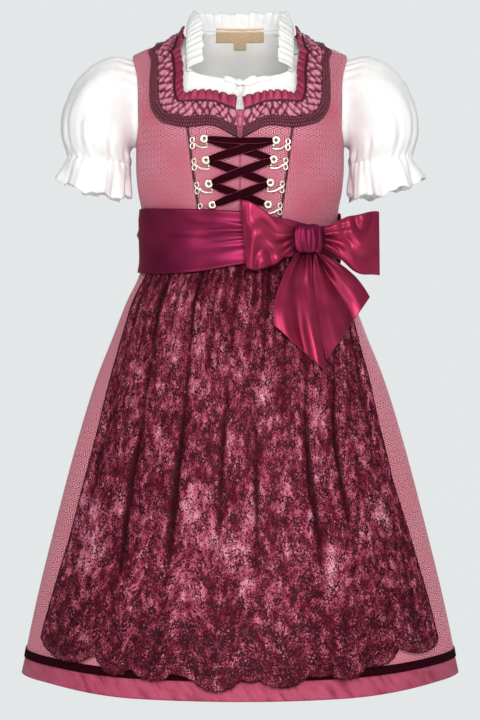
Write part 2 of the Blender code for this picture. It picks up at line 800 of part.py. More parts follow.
def label(name, half_angle, levels, out, material):
    """Plain woven label on the inner face of the blouse back."""
    grid = [[(180 + half_angle * c, z, out) for c in (-1, 0, 1)] for z in levels]
    return form_sheet(name, grid, 0.6, material)


def zip_pieces(materials):
    """Zip strip behind the closure, slider at its top and the hinged pull tab."""
    levels = [mix(neck_stations[0][1], waist_z + seam_gap, k / 5) for k in range(6)]
    grid = [[(angle_of(x, z, -1), z, -bodice_wall - 0.6) for x in (-5, 5)] for z in levels]
    form_sheet("zip_strip", grid, 0.5, materials["zip"])
    front = -form_point(0, zip_slider_z).y
    slider = block("zip_slider", (5.0, 2.0, 7.0), (0, 0, 0), materials["zip"])
    slider.location = Vector((0, -front - 1.25, zip_slider_z)) * mm
    pull = block("zip_pull", (4.6, 1.2, 12.5), (0, 0, -6.25), materials["zip"])
    pull.location = Vector((0, -front - 3.3, zip_hinge_z)) * mm


def build():
    for old in list(bpy.data.objects):
        bpy.data.objects.remove(old, do_unlink=True)
    materials = {
        "jacquard": make_material("rose_jacquard", "c05f7c", 0.55),
        "taffeta": make_material("raspberry_taffeta", "b5476b", 0.4),
        "velvet": make_material("dark_velvet", "22060c", 0.9),
        "lace": make_material("burgundy_lace", "4a1024", 0.7),
        "satin": make_material("raspberry_satin", "7a1a3c", 0.25),
        "frill": make_material("satin_frill", "a33a60", 0.3),
        "ruching": make_material("rose_ruching", "c07a90", 0.5),
        "braid": make_material("burgundy_braid", "5a1830", 0.6),
        "cotton": make_material("white_cotton", "f6f6f4", 0.7),
        "metal": make_material("silver_metal", "cfc8a8", 0.3, 1.0),
        "zip": make_material("rose_zip", "b0486a", 0.4),
        "pearl": make_material("pearl_button", "f0ece6", 0.2),
        "label": make_material("beige_label", "c9a77f", 0.7),
    }
    for side, place in ((-1, "left"), (1, "right")):
        centre_front("bodice_front_" + place, side, materials["jacquard"])
        side_panel("bodice_side_front_" + place, side_front_rows, -1, side, materials["jacquard"])
        side_panel("bodice_side_back_" + place, side_back_rows, 1, side, materials["jacquard"])
        princess_piping("piping_" + place, side, materials["braid"])
        neck_ruffle("neck_ruffle_" + place, side, materials["frill"])
        neck_trim("ruching_" + place, side, 0.06, 0.58, (2.1, 2.8, 2.1), 1.2, 37, materials["ruching"], 1, ruching_fold)
        neck_trim("braid_" + place, side, 0.66, 1.0, (3.3, 3.3, 3.3), 1.4, 44, materials["braid"])
        sleeve("sleeve_" + place, side, materials["cotton"])
        blouse_front("blouse_front_" + place, side, materials["cotton"])
    centre_back("bodice_back", materials["jacquard"])
    blouse_back(materials["cotton"])
    blouse_frill(materials["cotton"])
    blouse_tie(materials["cotton"])
    placed_at(disc("blouse_button", 4.6, 2.0, 16, materials["pearl"]), angle_of(-4, -88, -1), -88, blouse_face(-88) + 0.4)
    inside = blouse_face(0) - blouse_wall - 0.3
    label("neck_label", 20.6, (2.6, -10, -12), inside, materials["label"])
    label("size_tab", 4.5, (-12.6, -21), inside - 1.3, materials["label"])
    front_angles = [mix(-90 + side_gap_angle, 90 - side_gap_angle, c / 20) for c in range(21)]
    skirt_pieces(True, front_angles, materials)
    back_angles = [mix(90 + side_gap_angle, 270 - side_gap_angle, c / 40) for c in range(41)]
    skirt_pieces(False, back_angles, materials)
    apron_panel(materials["lace"])
    sash_sheet("sash_left", -90, 42, 14, materials["satin"])
    sash_sheet("sash_right", 42.4, 89.6, 6, materials["satin"])
    sash_sheet("sash_back", 90, 269.6, 14, materials["satin"])
    bow_loop("bow_loop_left", left_loop_rows, materials["satin"])
    bow_loop("bow_loop_right", right_loop_rows, materials["satin"])
    bow_knot(materials["satin"])
    bow_tail("bow_tail_left", left_tail_rows, 1.5, materials["satin"])
    bow_tail("bow_tail_right", right_tail_rows, 1.5, materials["satin"])
    for row, (left_x, left_z, right_x, right_z) in enumerate(hook_rows, 1):
        lacing_hook("hook_left_%d" % row, -1, left_x, left_z, materials["metal"])
        lacing_hook("hook_right_%d" % row, 1, right_x, right_z, materials["metal"])
    left = [(x, z) for x, z, _, _ in hook_rows]
    right = [(x, z) for _, _, x, z in hook_rows]
    lacing_stretch("lacing_top", left[0], right[0], 5.2, 6, materials["velvet"])
    for row in range(3):
        lacing_stretch("lacing_under_%d" % (row + 1), left[row], right[row + 1], 2.6, 0, materials["velvet"])
        lacing_stretch("lacing_over_%d" % (row + 1), right[row], left[row + 1], 3.9, 0, materials["velvet"])
    zip_pieces(materials)


build()
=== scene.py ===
# Dirndl set: rose jacquard dress, white cotton blouse, lace apron with a satin sash.
# Lengths in the tables are millimetres; +Z is up and the front looks towards -Y.
import bpy
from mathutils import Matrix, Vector
import math
import numpy as np


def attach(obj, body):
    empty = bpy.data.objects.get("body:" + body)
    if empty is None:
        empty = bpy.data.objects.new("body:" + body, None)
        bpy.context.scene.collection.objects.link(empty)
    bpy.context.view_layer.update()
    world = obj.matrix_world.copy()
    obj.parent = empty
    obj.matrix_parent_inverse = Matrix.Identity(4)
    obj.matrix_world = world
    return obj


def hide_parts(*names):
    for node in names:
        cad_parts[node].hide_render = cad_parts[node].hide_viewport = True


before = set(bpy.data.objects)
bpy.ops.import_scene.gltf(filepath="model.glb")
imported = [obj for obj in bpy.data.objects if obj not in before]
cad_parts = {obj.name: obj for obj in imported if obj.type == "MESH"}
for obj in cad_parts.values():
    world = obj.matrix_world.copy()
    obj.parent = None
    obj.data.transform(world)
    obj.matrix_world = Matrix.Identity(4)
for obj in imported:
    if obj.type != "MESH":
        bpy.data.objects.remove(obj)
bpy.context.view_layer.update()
mm = 0.001
sideNames = {-1: "left", 1: "right"}
print("frame loaded")


# small helpers

def mix(a, b, share):
    return a + (b - a) * share


def ease(share):
    share = np.clip(share, 0, 1)
    return share * share * (3 - 2 * share)


def bump(value, centre, width):
    return np.exp(-((value - centre) / width) ** 2)


def unit(v):
    return v / np.maximum(np.linalg.norm(v, axis=-1, keepdims=True), 1e-9)


def soften(values, samples):
    # blurs a line of numbers and keeps its two ends
    reach = int(samples * 3)
    kernel = np.exp(-0.5 * (np.arange(-reach, reach + 1) / samples) ** 2)
    before = 2 * values[0] - values[reach:0:-1]
    after = 2 * values[-1] - values[-2:-reach - 2:-1]
    return np.convolve(np.concatenate([before, values, after]), kernel / kernel.sum(), "valid")


def wander(values, pitch, seed):
    # smooth random numbers between -1 and 1, one change of mind each pitch
    draw = np.random.default_rng(seed).uniform(-1, 1, 400)
    place = np.asarray(values, float) / pitch + 100
    low = np.floor(place).astype(int)
    return mix(draw[low % 400], draw[(low + 1) % 400], ease(place - low))


# the hollow form that the cloth hangs on

# height, half width, front depth, back depth, roundness
formRows = [
    (4, 58, 29, 37, 2.4), (0, 65, 32, 40, 2.4), (-36, 128.5, 58, 64, 2.6), (-60, 126.5, 70, 76, 2.7),
    (-100, 125.5, 84, 84, 2.6), (-145, 124.5, 91, 86, 2.4), (-175, 124.5, 90, 84, 2.3),
    (-200, 122, 86, 82, 2.2), (-217, 118.5, 83, 80, 2.2), (-250, 115, 80, 78, 2.1),
    (-280, 116, 84, 82, 2.1), (-303, 123, 94, 91, 2.1), (-327, 135, 106, 102, 2.1),
    (-375, 154, 124, 118, 2.05), (-423, 173, 140, 133, 2), (-495, 195, 160, 152, 2),
    (-591, 221, 183, 174, 2), (-687, 245, 200, 190, 2), (-775, 262, 210, 200, 2),
]
waistZ, bandZ, hemZ = -255.0, -752.0, -775.0


def rowSlope(i, column):
    if i <= 2:
        return 0
    if i >= len(formRows) - 1:
        return (formRows[-1][column] - formRows[-2][column]) / (formRows[-1][0] - formRows[-2][0])
    above, below = formRows[i - 1], formRows[i + 1]
    return (above[column] - below[column]) / (above[0] - below[0])


def formColumns(z):
    i = next(k for k in range(1, len(formRows)) if z >= formRows[k][0])
    upper, lower = formRows[i - 1], formRows[i]
    drop = lower[0] - upper[0]
    s = (z - upper[0]) / drop
    if i <= 2:
        return [mix(a, b, s) for a, b in zip(upper[1:], lower[1:])]
    found = []
    for column in range(1, 5):
        start, end = rowSlope(i - 1, column) * drop, rowSlope(i, column) * drop
        found.append((2 * s ** 3 - 3 * s ** 2 + 1) * upper[column] + (s ** 3 - 2 * s ** 2 + s) * start
                     + (3 * s ** 2 - 2 * s ** 3) * lower[column] + (s ** 3 - s ** 2) * end)
    return found


depthSteps = np.arange(-4, 775.01, 0.5)  # distance below the origin
formTable = np.array([formColumns(-depth) for depth in depthSteps]).T


def formPoint(angle, z):
    angle, z = np.broadcast_arrays(np.asarray(angle, float), np.asarray(z, float))
    half, front, back, power = (np.interp(-z, depthSteps, column) for column in formTable)
    s, c = np.sin(np.radians(angle)), np.cos(np.radians(angle))
    x = half * np.abs(s) ** (2 / power) * np.sign(s)
    y = -np.where(c >= 0, front, back) * np.abs(c) ** (2 / power) * np.sign(c)
    sunk = 8.5 * bump(np.abs(x), 86, 21) * ease((z + 46) / 36)  # the shoulder sinks under the neck trims
    return np.stack([x, y, z - sunk], -1)


def formNormal(angle, z):
    around = formPoint(angle + 0.5, z) - formPoint(np.asarray(angle) - 0.5, z)
    upward = formPoint(angle, np.minimum(np.asarray(z) + 1, 4)) - formPoint(angle, np.asarray(z) - 1)
    return unit(np.cross(around, upward))


def onForm(angle, z, out=0.0):
    return formPoint(angle, z) + formNormal(angle, z) * np.asarray(out)[..., None]


def angleOf(x, z, face=-1):
    # angle of the form's point at a given x; face is -1 front, 0 shoulder line, 1 back
    x, z, face = np.broadcast_arrays(np.asarray(x, float), np.asarray(z, float), face)
    half, power = np.interp(-z, depthSteps, formTable[0]), np.interp(-z, depthSteps, formTable[3])
    lean = np.degrees(np.arcsin(np.minimum(np.abs(x) / half, 1) ** (power / 2)))
    return np.where(x < 0, -1, 1) * np.where(face == 0, 90, np.where(face < 0, lean, 180 - lean))


# meshes

def gridFaces(rows, columns, closed=False):
    r = np.arange(rows - 1)[:, None]
    c = np.arange(columns if closed else columns - 1)[None, :]
    a, b = r * columns + c, r * columns + (c + 1) % columns
    return np.stack([a, a + columns, b + columns, b], -1).reshape(-1, 4)


def cappedFaces(rows, columns):
    # a closed tube of rings with a flat face at either end
    last = (rows - 1) * columns
    caps = [list(range(columns))[::-1], list(range(last, last + columns))]
    return gridFaces(rows, columns, True).tolist() + caps


def addMesh(name, points, faces, material, cloth=None, shade=None):
    # a mesh from points in mm; cloth is each point's place on the flat cloth, in mm, shade its painted shade, 0 to 1
    mesh = bpy.data.meshes.new(name)
    faces = faces if isinstance(faces, list) else faces.tolist()
    mesh.from_pydata((np.asarray(points) * mm).tolist(), [], faces)
    mesh.shade_smooth()
    if cloth is not None:
        flat = np.zeros((len(points), 3), np.float32)
        flat[:, :2] = np.asarray(cloth).reshape(-1, 2)
        mesh.attributes.new("clothMm", "FLOAT_VECTOR", "POINT").data.foreach_set("vector", flat.ravel())
    if shade is not None:
        held = np.asarray(shade, np.float32).ravel()
        mesh.attributes.new("valley", "FLOAT", "POINT").data.foreach_set("value", held)
    mesh.materials.append(material)
    piece = bpy.data.objects.new(name, mesh)
    bpy.context.scene.collection.objects.link(piece)
    return piece


def flatPlaces(grid):
    # distance along each row and down each column of a grid of points, from its middle column
    across = np.zeros(grid.shape[:2])
    across[:, 1:] = np.cumsum(np.linalg.norm(np.diff(grid, axis=1), axis=-1), axis=1)
    down = np.zeros(grid.shape[:2])
    down[1:] = np.cumsum(np.linalg.norm(np.diff(grid, axis=0), axis=-1), axis=0)
    return np.stack([across - across[:, across.shape[1] // 2, None], down], -1)


def addCloth(name, grid, material, thick, closed=False, cloth=None, shade=None, flip=False):
    # cloth from a grid of points in mm, given thickness inwards
    if flip:
        grid = grid[:, ::-1]
        cloth = None if cloth is None else cloth[:, ::-1]
        shade = None if shade is None else shade[:, ::-1]
    rows, columns = grid.shape[:2]
    places = flatPlaces(grid) if cloth is None else cloth
    piece = addMesh(name, grid.reshape(-1, 3), gridFaces(rows, columns, closed), material, places, shade)
    wall = piece.modifiers.new("wall", "SOLIDIFY")
    wall.thickness = thick * mm
    wall.offset = -1
    wall.use_even_offset = False
    return piece


def tubeMesh(paths, radius, sides=8, flatten=1.0, away=None, closed=False):
    # points and faces of round cords along several lines of points; radius may change along them
    allPoints, allFaces, used = [], [], 0
    for path in paths:
        path = np.asarray(path, float)
        count = len(path)
        if closed:
            ahead = np.roll(path, -1, 0) - np.roll(path, 1, 0)
        else:
            ahead = np.gradient(path, axis=0)
        ahead = unit(ahead)
        outward = np.array([0.0, -1.0, 0.0]) if away is None else np.asarray(away, float)
        up = unit(outward - ahead * np.sum(ahead * outward, -1, keepdims=True))
        across = np.cross(ahead, up)
        size = np.broadcast_to(np.asarray(radius, float), (count,))[:, None, None]
        turn = np.linspace(0, 2 * np.pi, sides, endpoint=False)
        ring = path[:, None] + size * (across[:, None] * np.cos(turn)[None, :, None]
                                       + up[:, None] * (np.sin(turn) * flatten)[None, :, None])
        allPoints.append(ring.reshape(-1, 3))
        faces = gridFaces(count + (1 if closed else 0), sides, True)
        if closed:
            faces = faces % (count * sides)
        allFaces += (faces + used).tolist()
        if not closed:
            allFaces.append([used + k for k in range(sides)][::-1])
            allFaces.append([used + (count - 1) * sides + k for k in range(sides)])
        used += count * sides
    return np.concatenate(allPoints), allFaces


def addTubes(name, paths, radius, material, **shape):
    points, faces = tubeMesh(paths, radius, **shape)
    return addMesh(name, points, faces, material)


def wear(piece, slotName, *nodes, body="garment"):
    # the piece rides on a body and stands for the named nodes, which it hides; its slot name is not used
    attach(piece, body)
    if nodes:
        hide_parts(*nodes)
    return piece


# materials

def colour(code):
    # sRGB hex to linear
    parts = [int(code[i:i + 2], 16) / 255 for i in (0, 2, 4)]
    return tuple(c / 12.92 if c <= 0.04045 else ((c + 0.055) / 1.055) ** 2.4 for c in parts) + (1.0,)


def addNode(tree, kind, inputs=None, stops=None, feeds=None, **settings):
    # an input is a value, a hex colour, a socket, or a node whose first output is meant;
    # stops are a ramp's positions with hex colours or greys; feeds is the socket that the first output goes to
    node = tree.nodes.new("ShaderNode" + kind)
    for key, value in settings.items():
        setattr(node, key, value)
    for key, value in (inputs or {}).items():
        if isinstance(value, bpy.types.Node):
            value = value.outputs[0]
        if isinstance(value, bpy.types.NodeSocket):
            tree.links.new(value, node.inputs[key])
        else:
            node.inputs[key].default_value = colour(value) if isinstance(value, str) else value
    if stops:
        elements = node.color_ramp.elements
        elements.remove(elements[1])
        for k, (position, tone) in enumerate(stops):
            element = elements.new(position) if k else elements[0]
            element.position = position
            element.color = colour(tone) if isinstance(tone, str) else (tone, tone, tone, 1)
    if feeds:
        tree.links.new(node.outputs[0], feeds)
    return node


def newMaterial(name, **sockets):
    # a Principled material with its even values set on its own sockets
    material = bpy.data.materials.new(name)
    material.use_nodes = True
    tree = material.node_tree
    shader = tree.nodes["Principled BSDF"]
    for key, value in sockets.items():
        shader.inputs[key.replace("_", " ")].default_value = value
    return material, tree, shader


def clothPlace(tree):
    # place on the flat cloth in mm, so that a noise of scale 1 / 7 has blotches of about 7 mm
    return addNode(tree, "Attribute", attribute_name="clothMm").outputs["Vector"]


def valleyDepth(tree):
    # how much painted shade a point takes, 0 to 1: deep in a fold, in a gap or under another part
    return addNode(tree, "Attribute", attribute_name="valley").outputs["Fac"]


def weave(tree, place, pitch):
    # over-and-under threads; pitch is the thread spacing in mm, coarser than life so that it shows
    waves = []
    for part in addNode(tree, "SeparateXYZ", {0: place}).outputs[:2]:
        turns = addNode(tree, "Math", {0: part, 1: 2 * math.pi / pitch}, operation="MULTIPLY")
        waves.append(addNode(tree, "Math", {0: turns}, operation="SINE"))
    return addNode(tree, "Math", {0: waves[0], 1: waves[1]}, operation="MULTIPLY")


def hexRings(tree, place, pitch):
    # distance from the nearest point of a honeycomb, 0 at its centre and 0.5 at its edge
    tall = math.sqrt(3) / 2
    scaled = addNode(tree, "VectorMath", {0: place, 1: (1 / pitch, 1 / pitch, 0)}, operation="MULTIPLY")
    found = []
    for shift in ((0, 0, 0), (0.5, tall, 0)):
        moved = addNode(tree, "VectorMath", {0: scaled, 1: shift}, operation="ADD")
        wrapped = addNode(tree, "VectorMath", {0: moved, 1: (0.5, tall, 1), 2: (-0.5, -tall, -1)}, operation="WRAP")
        folded = addNode(tree, "VectorMath", {0: wrapped}, operation="ABSOLUTE")
        slanted = addNode(tree, "VectorMath", {0: folded, 1: (0.5, tall, 0)}, operation="DOT_PRODUCT").outputs["Value"]
        straight = addNode(tree, "SeparateXYZ", {0: folded})
        found.append(addNode(tree, "Math", {0: straight, 1: slanted}, operation="MAXIMUM"))
    return addNode(tree, "Math", {0: found[0], 1: found[1]}, operation="MINIMUM")


def jacquardMaterial(name, pale, line, tones, plainest):
    # woven polyester jacquard: concentric rings on a paler ground, a soft gloss on the raised yarn
    material, tree, shader = newMaterial(name, Roughness=0.55, Sheen_Weight=0.2, Sheen_Roughness=0.4,
                                         Sheen_Tint=colour("f3c2c8"), Specular_IOR_Level=0.3)
    place = clothPlace(tree)
    ringPitch = 8.6  # the real repeat in mm; its lines are drawn 1 mm wide, coarser than life, so that they show
    rings = hexRings(tree, place, ringPitch)
    figure = addNode(tree, "ValToRGB", {"Fac": rings}, [
        (0.0, line), (0.07, line), (0.11, pale), (0.17, pale), (0.21, line), (0.28, line), (0.32, pale),
        (0.41, pale), (0.45, line), (0.5, line)])
    alongWeft = addNode(tree, "VectorMath", {0: place, 1: (0.5, 2.0, 1)}, operation="MULTIPLY")
    yarn = addNode(tree, "TexNoise", {"Vector": alongWeft, "Scale": 1 / 1.7})
    ground = addNode(tree, "ValToRGB", {"Fac": yarn}, list(zip((0.32, 0.52, 0.7), tones)))
    # painted sheen: the figure fades in broad patches and fine specks, where the light catches the plain ground
    patches = addNode(tree, "TexNoise", {"Vector": place, "Scale": 1 / 70, "Detail": 1.0})
    sheenSpeckle = addNode(tree, "TexNoise", {"Vector": place, "Scale": 1 / 3.0})
    share = addNode(tree, "Math", {0: patches, 1: 2.6, 2: -1.32}, operation="MULTIPLY_ADD")
    share = addNode(tree, "Math", {0: sheenSpeckle, 1: 0.7, 2: share}, operation="MULTIPLY_ADD")
    share = addNode(tree, "ValToRGB", {"Fac": share}, [(0.1, 0.05), (0.95, plainest)])
    tone = addNode(tree, "Mix", {0: share, 6: figure, 7: ground}, data_type="RGBA").outputs[2]
    tree.links.new(tone, shader.inputs["Base Color"])
    raised = addNode(tree, "ValToRGB", {"Fac": rings}, [
        (0.07, 0.1), (0.11, 1.0), (0.17, 1.0), (0.21, 0.1), (0.28, 0.1), (0.32, 1.0), (0.41, 1.0), (0.45, 0.1)])
    addNode(tree, "Math", {0: raised, 1: -0.2, 2: 0.64}, feeds=shader.inputs["Roughness"], operation="MULTIPLY_ADD")
    height = addNode(tree, "Math", {0: raised, 1: yarn}, operation="ADD")
    addNode(tree, "Bump", {"Height": height, "Distance": 0.2 * mm}, feeds=shader.inputs["Normal"])
    return material


def taffetaMaterial():
    # polyester taffeta: crisp plain weave, a dry shine, slubs along the weft and soft diagonal creases
    material, tree, shader = newMaterial("raspberry_taffeta", Roughness=0.42, Sheen_Weight=0.12,
                                         Sheen_Tint=colour("f090a0"), Specular_Tint=colour("ffb0c0"))
    place = clothPlace(tree)
    alongWeft = addNode(tree, "VectorMath", {0: place, 1: (0.12, 1, 1)}, operation="MULTIPLY")
    slub = addNode(tree, "TexNoise", {"Vector": alongWeft, "Scale": 1 / 1.8})
    leaned = addNode(tree, "VectorRotate", {"Vector": place, "Angle": 0.7}, rotation_type="Z_AXIS")
    drawn = addNode(tree, "VectorMath", {0: leaned, 1: (1, 0.3, 1)}, operation="MULTIPLY")
    crease = addNode(tree, "TexNoise", {"Vector": drawn, "Scale": 1 / 9, "Detail": 2.5})
    # painted shade: the colour darkens in the hollows of the diagonal creases
    tone = addNode(tree, "ValToRGB", {"Fac": crease}, [(0.3, "83283f"), (0.48, "ad4560"), (0.72, "b6506c")])
    share = addNode(tree, "ValToRGB", {"Fac": slub}, [(0.4, 0.0), (0.8, 0.3)])
    tone = addNode(tree, "Mix", {0: share, 6: tone, 7: "8a2c44"}, data_type="RGBA").outputs[2]
    tree.links.new(tone, shader.inputs["Base Color"])
    threads = addNode(tree, "Math", {0: weave(tree, place, 0.8), 1: 0.12}, operation="MULTIPLY")
    height = addNode(tree, "Math", {0: crease, 1: 2.2, 2: threads}, operation="MULTIPLY_ADD")
    addNode(tree, "Bump", {"Height": height, "Distance": 0.5 * mm}, feeds=shader.inputs["Normal"])
    return material


def velvetMaterial():
    # viscose velvet pile: swallows light, pale only along its turned edges
    material, tree, shader = newMaterial("dark_velvet", Roughness=0.95, Sheen_Weight=0.02, Sheen_Roughness=0.3,
                                         Sheen_Tint=colour("8a2848"), Specular_IOR_Level=0.03)
    # tufts of 1.2 mm, coarser than the real pile, so that they show
    pile = addNode(tree, "TexNoise", {"Vector": clothPlace(tree), "Scale": 1 / 1.2, "Detail": 3.0})
    addNode(tree, "ValToRGB", {"Fac": pile}, [(0.3, "22040b"), (0.8, "2e0812")], shader.inputs["Base Color"])
    addNode(tree, "Bump", {"Height": pile, "Distance": 0.3 * mm}, feeds=shader.inputs["Normal"])
    return material


def satinMaterial(name, dark, light, rough, tint, metallic):
    # duchesse satin: long floats of yarn, so highlights are wide, soft and the cloth's own colour
    material, tree, shader = newMaterial(name, Roughness=rough, Specular_IOR_Level=0.5, Sheen_Weight=0.06,
                                         Sheen_Tint=colour(tint), Specular_Tint=colour(tint), Metallic=metallic)
    place = clothPlace(tree)
    cloud = addNode(tree, "TexNoise", {"Vector": place, "Scale": 1 / 45, "Detail": 1.0})
    tone = addNode(tree, "ValToRGB", {"Fac": cloud}, [(0.3, dark), (0.7, light)])
    alongWeft = addNode(tree, "VectorMath", {0: place, 1: (0.15, 2.5, 1)}, operation="MULTIPLY")
    thread = addNode(tree, "TexNoise", {"Vector": alongWeft, "Scale": 1.0})
    share = addNode(tree, "ValToRGB", {"Fac": thread}, [(0.3, 0.0), (0.8, 0.15)])
    tone = addNode(tree, "Mix", {0: share, 6: tone, 7: dark}, data_type="RGBA").outputs[2]
    # painted shade: the colour darkens in the folds, gaps and covered places that the valley share marks
    share = addNode(tree, "Math", {0: valleyDepth(tree), 1: 0.85}, operation="MULTIPLY")
    tone = addNode(tree, "Mix", {0: share, 6: tone, 7: "45081e"}, data_type="RGBA").outputs[2]
    tree.links.new(tone, shader.inputs["Base Color"])
    pucker = addNode(tree, "TexNoise", {"Vector": place, "Scale": 1 / 22, "Detail": 1.0})
    height = addNode(tree, "Math", {0: thread, 1: 0.03}, operation="MULTIPLY")
    height = addNode(tree, "Math", {0: pucker, 1: 0.5, 2: height}, operation="MULTIPLY_ADD")
    addNode(tree, "Bump", {"Height": height, "Distance": 0.3 * mm}, feeds=shader.inputs["Normal"])
    return material


def braidMaterial():
    # rayon gimp: twisted burgundy cord in two tones; painted highlight on the raised twists, painted shade in the gaps
    # and between the cords
    material, tree, shader = newMaterial("burgundy_braid", Roughness=0.6, Sheen_Weight=0.05,
                                         Sheen_Tint=colour("c06080"), Specular_IOR_Level=0.3)
    place = clothPlace(tree)
    twistPitch = 2.9  # mm, coarser than the real 2 mm, so that it shows
    across, along = addNode(tree, "SeparateXYZ", {0: place}).outputs[:2]
    zigzag = addNode(tree, "Math", {0: across, 1: 3.33}, operation="PINGPONG")
    slant = addNode(tree, "Math", {0: zigzag, 1: 0.8, 2: along}, operation="MULTIPLY_ADD")
    turns = addNode(tree, "Math", {0: slant, 1: 2 * math.pi / twistPitch}, operation="MULTIPLY")
    twist = addNode(tree, "Math", {0: turns}, operation="SINE")
    rough = addNode(tree, "TexNoise", {"Vector": place, "Scale": 1 / 1.6, "Detail": 1.0})
    lit = addNode(tree, "Math", {0: twist, 1: 0.36, 2: 0.2}, operation="MULTIPLY_ADD")
    lit = addNode(tree, "Math", {0: rough, 1: 0.6, 2: lit}, operation="MULTIPLY_ADD")
    tone = addNode(tree, "ValToRGB", {"Fac": lit}, [(0.1, "180309"), (0.45, "4a1222"), (0.72, "783244"),
                                                    (0.95, "a85c70")])
    tone = addNode(tree, "Mix", {0: valleyDepth(tree), 6: tone, 7: "1c050c"}, data_type="RGBA").outputs[2]
    tree.links.new(tone, shader.inputs["Base Color"])
    addNode(tree, "Bump", {"Height": lit, "Distance": 0.6 * mm}, feeds=shader.inputs["Normal"])
    return material


def ruchingMaterial():
    # folded rose taffeta ribbon, its colour from the valley share: painted highlight on the fold edges, painted shade
    # deep in the pinched holes
    material, tree, shader = newMaterial("rose_ruching", Roughness=0.42, Sheen_Weight=0.1,
                                         Sheen_Tint=colour("f6bcc8"), Specular_Tint=colour("ffc0d0"))
    grain = addNode(tree, "TexNoise", {"Vector": clothPlace(tree), "Scale": 1 / 2.2, "Detail": 3.0})
    tone = addNode(tree, "ValToRGB", {"Fac": valleyDepth(tree)}, [(0.0, "d08c9e"), (0.2, "ae5e74"),
                                                                  (0.42, "7e2e46"), (0.7, "2c0614")])
    share = addNode(tree, "ValToRGB", {"Fac": grain}, [(0.4, 0.0), (0.7, 0.6)])
    tone = addNode(tree, "Mix", {0: share, 6: tone, 7: "903a54"}, data_type="RGBA").outputs[2]
    tree.links.new(tone, shader.inputs["Base Color"])
    addNode(tree, "Bump", {"Height": grain, "Distance": 0.35 * mm}, feeds=shader.inputs["Normal"])
    return material


def cottonMaterial(name, tone, shadow):
    # bleached cotton batiste: chalky, fine plain weave, light passes a little
    material, tree, shader = newMaterial(name, Roughness=0.8, Sheen_Weight=0.0, Subsurface_Weight=0.12,
                                         Subsurface_Radius=(0.004, 0.004, 0.004), Specular_IOR_Level=0.3)
    place = clothPlace(tree)
    soft = addNode(tree, "TexNoise", {"Vector": place, "Scale": 1 / 26})
    addNode(tree, "ValToRGB", {"Fac": soft}, [(0.3, shadow), (0.65, tone)], shader.inputs["Base Color"])
    crumple = addNode(tree, "TexNoise", {"Vector": place, "Scale": 1 / 7, "Detail": 3.0})
    height = addNode(tree, "Math", {0: weave(tree, place, 0.8), 1: 0.1, 2: crumple.outputs[0]},
                     operation="MULTIPLY_ADD")
    addNode(tree, "Bump", {"Height": height, "Distance": 0.4 * mm}, feeds=shader.inputs["Normal"])
    return material


